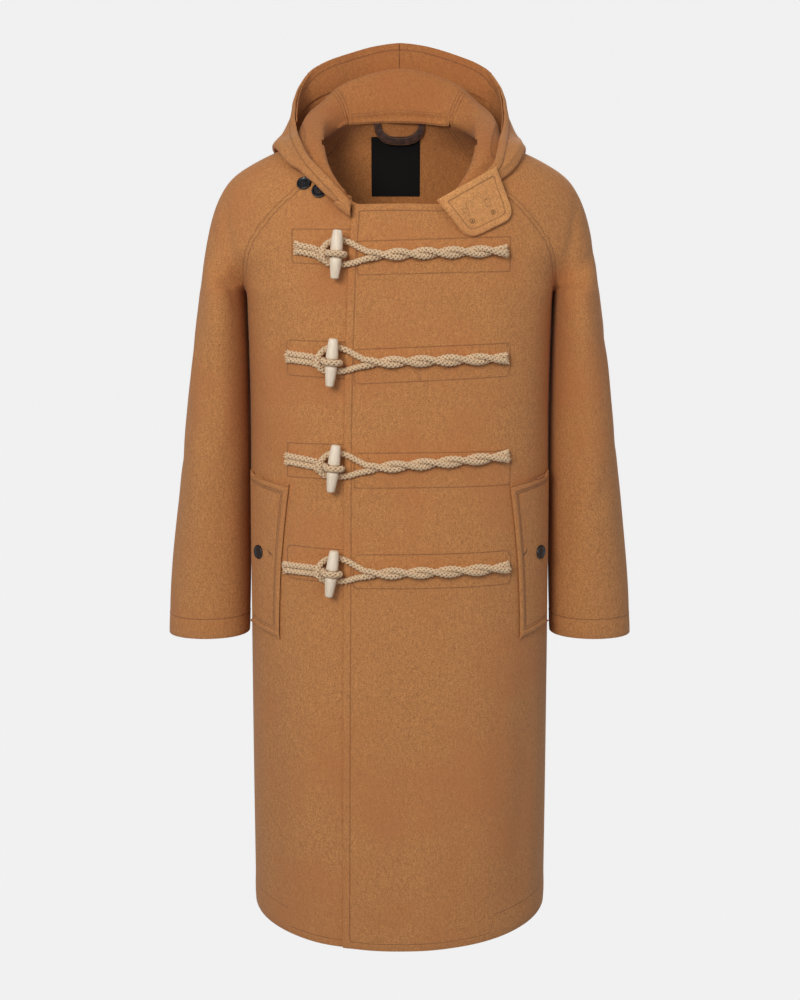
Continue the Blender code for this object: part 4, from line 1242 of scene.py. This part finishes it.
# smaller pieces of cloth: how far their outer side lies from the coat's (None keeps their place), their
# thickness, how far their edges are rounded, the levels of smoothing, rows of stitching in from their edges,
# and whether that outer side faces forward
def trimOf(lies, thickness, edge, levels, rows, faces=True):
    sizes = {"lies": lies, "thickness": thickness, "edge": edge}
    return {**sizes, "levels": levels, "rows": rows, "faces": faces}


trims = {
    "pocket_left": trimOf(0.0036, 0.0030, 0.0009, 4, (0.0088, 0.0120)),
    "pocket_right": trimOf(0.0036, 0.0030, 0.0009, 4, (0.0088, 0.0120)),
    "throat_tab": trimOf(None, 0.0024, 0.0009, 3, (0.0098, None)),
    "hood_facing_left": trimOf(-0.0050, 0.0016, 0.0006, 3, (None, None), faces=False),
    "hood_facing_right": trimOf(-0.0050, 0.0016, 0.0006, 3, (None, None), faces=False),
    "neck_tape": trimOf(None, 0.0012, 0.0004, 3, (0.0016, None)),
    "label": trimOf(None, 0.0008, 0.0003, 3, (0.0022, None)),
    "hanger_loop": trimOf(None, 0.0018, 0.0004, 3, (0.0016, None)),
}


def addTrim(name, title, sheet, finish):
    addCloth(name, title, sheet, finish, trims[name]["edge"], trims[name]["thickness"], [name])


def fromCoat(side):
    spots = [face.calc_center_median() for face in side]
    return sum(coat.find_nearest(spot)[3] for spot in spots) / len(spots)


def outerSheet(name):
    # the side of a trim that faces away from the coat, as an open sheet
    wall = closedWall(name)
    own = BVHTree.FromBMesh(wall)
    sides = wallSides(wall, own, [])[:2]
    if trims[name]["faces"]:
        outer = max(sides, key=lambda side: sum(-face.normal.y * face.calc_area() for face in side))
    else:
        outer = max(sides, key=lambda side: fromCoat(side))
    bmesh.ops.delete(wall, geom=[face for face in wall.faces if face not in outer], context="FACES")
    angle = math.radians(cloth["foldAngle"])
    bmesh.ops.join_triangles(
        wall, faces=wall.faces, angle_face_threshold=angle, angle_shape_threshold=angle
    )
    return wall


def bodyTree():
    # the fronts and the back alone, without the sleeves that hang against them
    skin.verts.index_update()
    body = {cloth["panels"].index(name) for name in ("back", "front_left", "front_right")}
    faces = [[vert.index for vert in face.verts] for face in skin.faces if face.material_index in body]
    return BVHTree.FromPolygons([vert.co for vert in skin.verts], faces)


body = bodyTree()


def layOnCoat(sheet, distance):
    # a piece on the outside follows the body alone, and one on the inside the whole coat
    tree = body if distance > 0 else coat
    sheet.normal_update()
    for vert in sheet.verts:
        near, normal, _, _ = tree.find_nearest(vert.co)
        vert.co = near + normal * distance
    sheet.normal_update()


def trimSheet(name):
    trim = trims[name]
    sheet = smoothed(outerSheet(name), trim["levels"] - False)
    if trim["lies"]:
        layOnCoat(sheet, trim["lies"])
    return sheet


def markRows(sheet, rows, kept=None):
    # stored distances from rows of stitching, inside the edges that are kept
    edges = [edge for edge in sheet.edges if edge.is_boundary and (kept is None or kept(edge))]
    border = treeOf([point for edge in edges for point in spread([vert.co for vert in edge.verts], 0.0005)])
    layers = [sheet.verts.layers.float.new(name) for name in ("hemline", "patch")]
    depth = sheet.verts.layers.float.new("depth")
    for vert in sheet.verts:
        vert[depth] = border.find(vert.co)[2]
        for layer, row in zip(layers, rows):
            vert[layer] = vert[depth] - row if row else 1.0
    return depth


def raiseBand(sheet, depth, heightAt):
    ways = [vert.normal.copy() for vert in sheet.verts]
    for vert, way in zip(sheet.verts, ways):
        vert.co += way * heightAt(vert[depth])
    sheet.normal_update()


def bandHeight(width, height):
    def heightAt(depth):
        return height * math.sin(math.pi * min(1, max(0, depth) / width)) ** 0.7
    return heightAt


for side in ("left", "right"):
    name = "pocket_" + side
    sheet = trimSheet(name)
    depth = markRows(
        sheet, trims[name]["rows"], lambda edge: max(abs(vert.co.x) for vert in edge.verts) < 0.2165
    )
    raiseBand(sheet, depth, bandHeight(0.0098, 0.0016))
    sewnOn(name, sheet)
    addTrim(name, name + "_welt", sheet, wool)

tab = {
    "holes": ((0.1015, -0.1472), (0.1312, -0.1345)),  # seen from the front
    "rings": (0.0024, 0.0034),
    "boxes": (((0.0928, -0.1350), 0.0068, 0.0110), ((0.1231, -0.1216), 0.0068, 0.0100)),
    "lean": 24,  # degrees
    "out": (0.30, -0.93, 0.20),
    "under": {"larger": 1.012, "lower": 0.0028, "thickness": 0.0022},
}


def sewOutline(stitches, tree, points, pitch):
    # stitches along a closed outline seen from the front
    chain = [onSheet(tree, x, z) for x, z in points + points[:1]]
    sewChain(stitches, chain, pitch, pitch * 0.72)


def addTabSewing(tree):
    # two worked buttonholes, a dark dot in each as painted shadow, and the two small boxes that hold their
    # loops
    stitches = []
    turns = [math.pi * k / 8 for k in range(16)]
    for x, z in tab["holes"]:
        for radius in tab["rings"]:
            ring = [(x + radius * math.cos(a), z + radius * math.sin(a)) for a in turns]
            sewOutline(stitches, tree, ring, 0.0011)
    lean = Matrix.Rotation(math.radians(tab["lean"]), 2)
    for middle, wide, high in tab["boxes"]:
        corners = [(right * wide / 2, up * high / 2) for right, up in ((-1, -1), (1, -1), (1, 1), (-1, 1))]
        outline = [tuple(Vector(middle) + lean @ Vector(corner)) for corner in corners]
        sewOutline(stitches, tree, outline, 0.0022)
    placed("stitching_tab_holes", stitched(stitches), shadowThread)
    # painted shadow: a dark dot in each buttonhole's opening
    holeShadows = []
    for x, z in tab["holes"]:
        hit, normal = onSheet(tree, x, z)
        addStitch(holeShadows, hit, Vector((0.3, 0, 1)).normalized(), normal, 0.0030, 0.0011)
    placed("tab_hole_shadows", stitched(holeShadows), shadowThread)


def addSlit(tree, name, ends):
    # a worked buttonhole beside a button: a dark ellipsoid as painted shadow in the slit, between two rows of
    # stitches laid across it
    stitches = []
    chain = lineOn(tree, *ends, 6)
    along = (chain[-1][0] - chain[0][0]).normalized()
    # painted shadow: a dark ellipsoid along the slit's opening
    addStitch(stitches, chain[3][0] + chain[3][1] * 0.0002, along, chain[3][1], 0.0115, 0.0012)
    sewChain(stitches, chain, 0.0012, 0.0016)
    placed("buttonhole_" + name, stitched(stitches), shadowThread)


slits = {
    "pocket_right": ((-0.1930, -0.6180), (-0.1845, -0.6265)),
    "pocket_left": ((0.1860, -0.6160), (0.1795, -0.6250)),
}
for name, ends in slits.items():
    addSlit(BVHTree.FromObject(panels[name], bpy.context.evaluated_depsgraph_get()), name, ends)

# the tab is two layers of the wool, the under one a little larger
tabOut = Vector(tab["out"]).normalized()
sheet = trimSheet("throat_tab")
depth = markRows(sheet, trims["throat_tab"]["rows"])
raiseBand(sheet, depth, bandHeight(0.0105, 0.0009))
under = sheet.copy()
middle = sum((vert.co for vert in under.verts), Vector()) / len(under.verts)
for vert in under.verts:
    vert.co = middle + (vert.co - middle) * tab["under"]["larger"] - tabOut * tab["under"]["lower"]
    for layer in ("hemline", "patch"):
        vert[under.verts.layers.float[layer]] = 1.0
addTabSewing(BVHTree.FromBMesh(sheet))
sewnOn("throat_tab", sheet)
addTrim("throat_tab", "throat_tab_top", sheet, woolTab)
name = "throat_tab_under"
addCloth(name, name, under, woolTab, cloth["edge"], tab["under"]["thickness"], [])

allBorders = sewnBorders(skin, cloth["panels"])
for side in ("left", "right"):
    name = "hood_facing_" + side
    sheet = trimSheet(name)
    hemline = sheet.verts.layers.float.new("hemline")
    patch = sheet.verts.layers.float.new("patch")
    for vert in sheet.verts:
        nearest = min(tree["hoodEdge"].find(vert.co)[2] for tree in allBorders.values() if "hoodEdge" in tree)
        vert[hemline] = nearest - margins["hoodEdge"]
        vert[patch] = 1.0
    sewnOn(name, sheet)
    addTrim(name, name + "_cloth", sheet, woolInsideShaded)

neckTape = {"lower": 0.0028, "dip": 0.0044, "reach": 0.08, "forward": 0.0018}
sheet = trimSheet("neck_tape")
for vert in sheet.verts:  # over the neck seam, and lowest in the middle
    vert.co.z -= neckTape["lower"] + neckTape["dip"] * (1 - (vert.co.x / neckTape["reach"]) ** 2)
    vert.co.y -= neckTape["forward"]
depth = markRows(sheet, trims["neck_tape"]["rows"])
raiseBand(sheet, depth, bandHeight(0.0066, 0.0017))
addTrim("neck_tape", "neck_tape_cloth", sheet, woolInsideShaded)


def leatherFinish(graph):
    place = graph.place()
    cells = {"feature": "DISTANCE_TO_EDGE"}
    grain = graph.node("ShaderNodeTexVoronoi", cells, {"Vector": place, "Scale": 900})
    tone = graph.noise(place, 120, 3.0)
    wearAndGrooveShade = graph.mixed((0.030, 0.012, 0.008, 1), (0.085, 0.034, 0.020, 1), tone.over(0.35, 0.70))
    line = 1 - abs(graph.stored("hemline")).over(0.0, 0.0006)
    # painted shade: the leather darker along the stitching, where its groove would be in shade
    wearAndGrooveShade = graph.mixed(wearAndGrooveShade, (0.012, 0.005, 0.004, 1), line * 0.6)
    return wearAndGrooveShade, 0.42 + tone * 0.15, grain.over(0.0, 0.25) * 0.00005 - line * 0.0003


leather = surfaced("brown leather", leatherFinish, {"Coat Weight": 0.05})
sheet = trimSheet("hanger_loop")
markRows(sheet, trims["hanger_loop"]["rows"])
sewnOn("hanger_loop", sheet)
addTrim("hanger_loop", "hanger_loop_strap", sheet, leather)


def labelFinish(graph):
    place = graph.place()
    bands = {"Vector": place, "Scale": 330, "Distortion": 0.4}
    across = graph.node("ShaderNodeTexWave", {"bands_direction": "X"}, bands)
    down = graph.node("ShaderNodeTexWave", {"bands_direction": "Z"}, bands)
    weave = across * 0.5 + down * 0.5
    mix = graph.mixed((0.0022, 0.0020, 0.0019, 1), (0.0065, 0.0058, 0.0055, 1), weave)
    line = 1 - abs(graph.stored("hemline")).over(0.0, 0.0007)
    return mix, 0.70 + weave * 0.15, weave * 0.00008 - line * 0.0002


labelWeave = surfaced("black weave", labelFinish, {"Specular IOR Level": 0.15})
sheet = trimSheet("label")
markRows(sheet, trims["label"]["rows"])
addTrim("label", "label_cloth", sheet, labelWeave)
print("trims:", len(trims))

room = {
    "floor": -1.50,
    "reach": 7.0,
    "curve": 1.5,
    "wall": 7.0,
    "tone": 0.004,
    "glow": 0.876,
    "above": 0.42,  # light from overhead, and from underneath
    "below": 0.10,
    # each lamp's place, what it points at, width, watts and colour
    "lamps": (
        ((-1.05, -2.8, 0.65), (0.0, 0.0, -0.10), 1.3, 56, (1.0, 0.985, 0.96)),
        ((1.7, -2.5, 0.1), (0.0, 0.0, -0.4), 2.0, 10, (1.0, 0.99, 0.98)),
        ((0.4, 2.4, 1.2), (0.0, 0.0, -0.4), 2.2, 30, (0.99, 0.99, 1.0)),
    ),
}


def paperFinish(graph):
    tone = room["tone"]
    fine = graph.noise(graph.place(), 60, 2.0)
    paint = graph.mixed((tone, tone, tone, 1), (tone * 0.95, tone * 0.95, tone * 0.95, 1), fine)
    return paint, 0.95 + fine * 0.02, fine * 0.00002


def addSky():
    sky = bpy.data.worlds.new("studio")
    sky.use_nodes = True
    sky.node_tree.nodes.clear()
    graph = Wire(sky.node_tree)
    way = graph.node("ShaderNodeTexCoord", {}, {}, "Generated")
    rise = graph.node("ShaderNodeSeparateXYZ", {}, {"Vector": way}, "Z")
    low, high = ((tone, tone, tone, 1) for tone in (room["below"], room["above"]))
    colour = graph.mixed(low, high, rise.over(-0.6, 0.7))
    light = graph.node("ShaderNodeBackground", {}, {"Color": colour, "Strength": 1.0})
    graph.node("ShaderNodeOutputWorld", {}, {"Surface": light})
    scene.world = sky


def addLamps():
    for number, (place, aim, width, strength, colour) in enumerate(room["lamps"]):
        lamp = bpy.data.lights.new(f"lamp_{number}", "AREA")
        lamp.shape = "DISK"
        lamp.size = width
        lamp.energy = strength
        lamp.color = colour
        shining = linked(f"lamp_{number}", lamp)
        shining.location = place
        shining.rotation_euler = (Vector(aim) - Vector(place)).to_track_quat("-Z", "Y").to_euler()


def addFloor():
    # a pale bowl all round, which lets the sky's light through
    reach, curve = room["reach"], room["curve"]
    sweep = [math.pi * i / 32 for i in range(1, 17)]
    profile = [(0.0, 0.0), (reach, 0.0)]
    profile += [(reach + curve * math.sin(a), curve - curve * math.cos(a)) for a in sweep]
    profile += [(reach + curve, room["wall"])]
    data = meshOf("floor", spun([(x, 0, room["floor"] + z) for x, z in profile], 72, 0.0001))
    data.shade_smooth()
    shine = {"Emission Strength": room["glow"], "Specular IOR Level": 0.0}
    data.materials.append(surfaced("paper", paperFinish, shine))
    floor = linked("floor", data)
    floor.visible_diffuse = False
    floor.visible_shadow = False
    floor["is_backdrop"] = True


addSky()
addLamps()
addFloor()
boxes = {"cad": [list(corner) for corner in cadBox], "visual": [list(corner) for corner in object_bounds()]}
print("box", boxes["visual"])
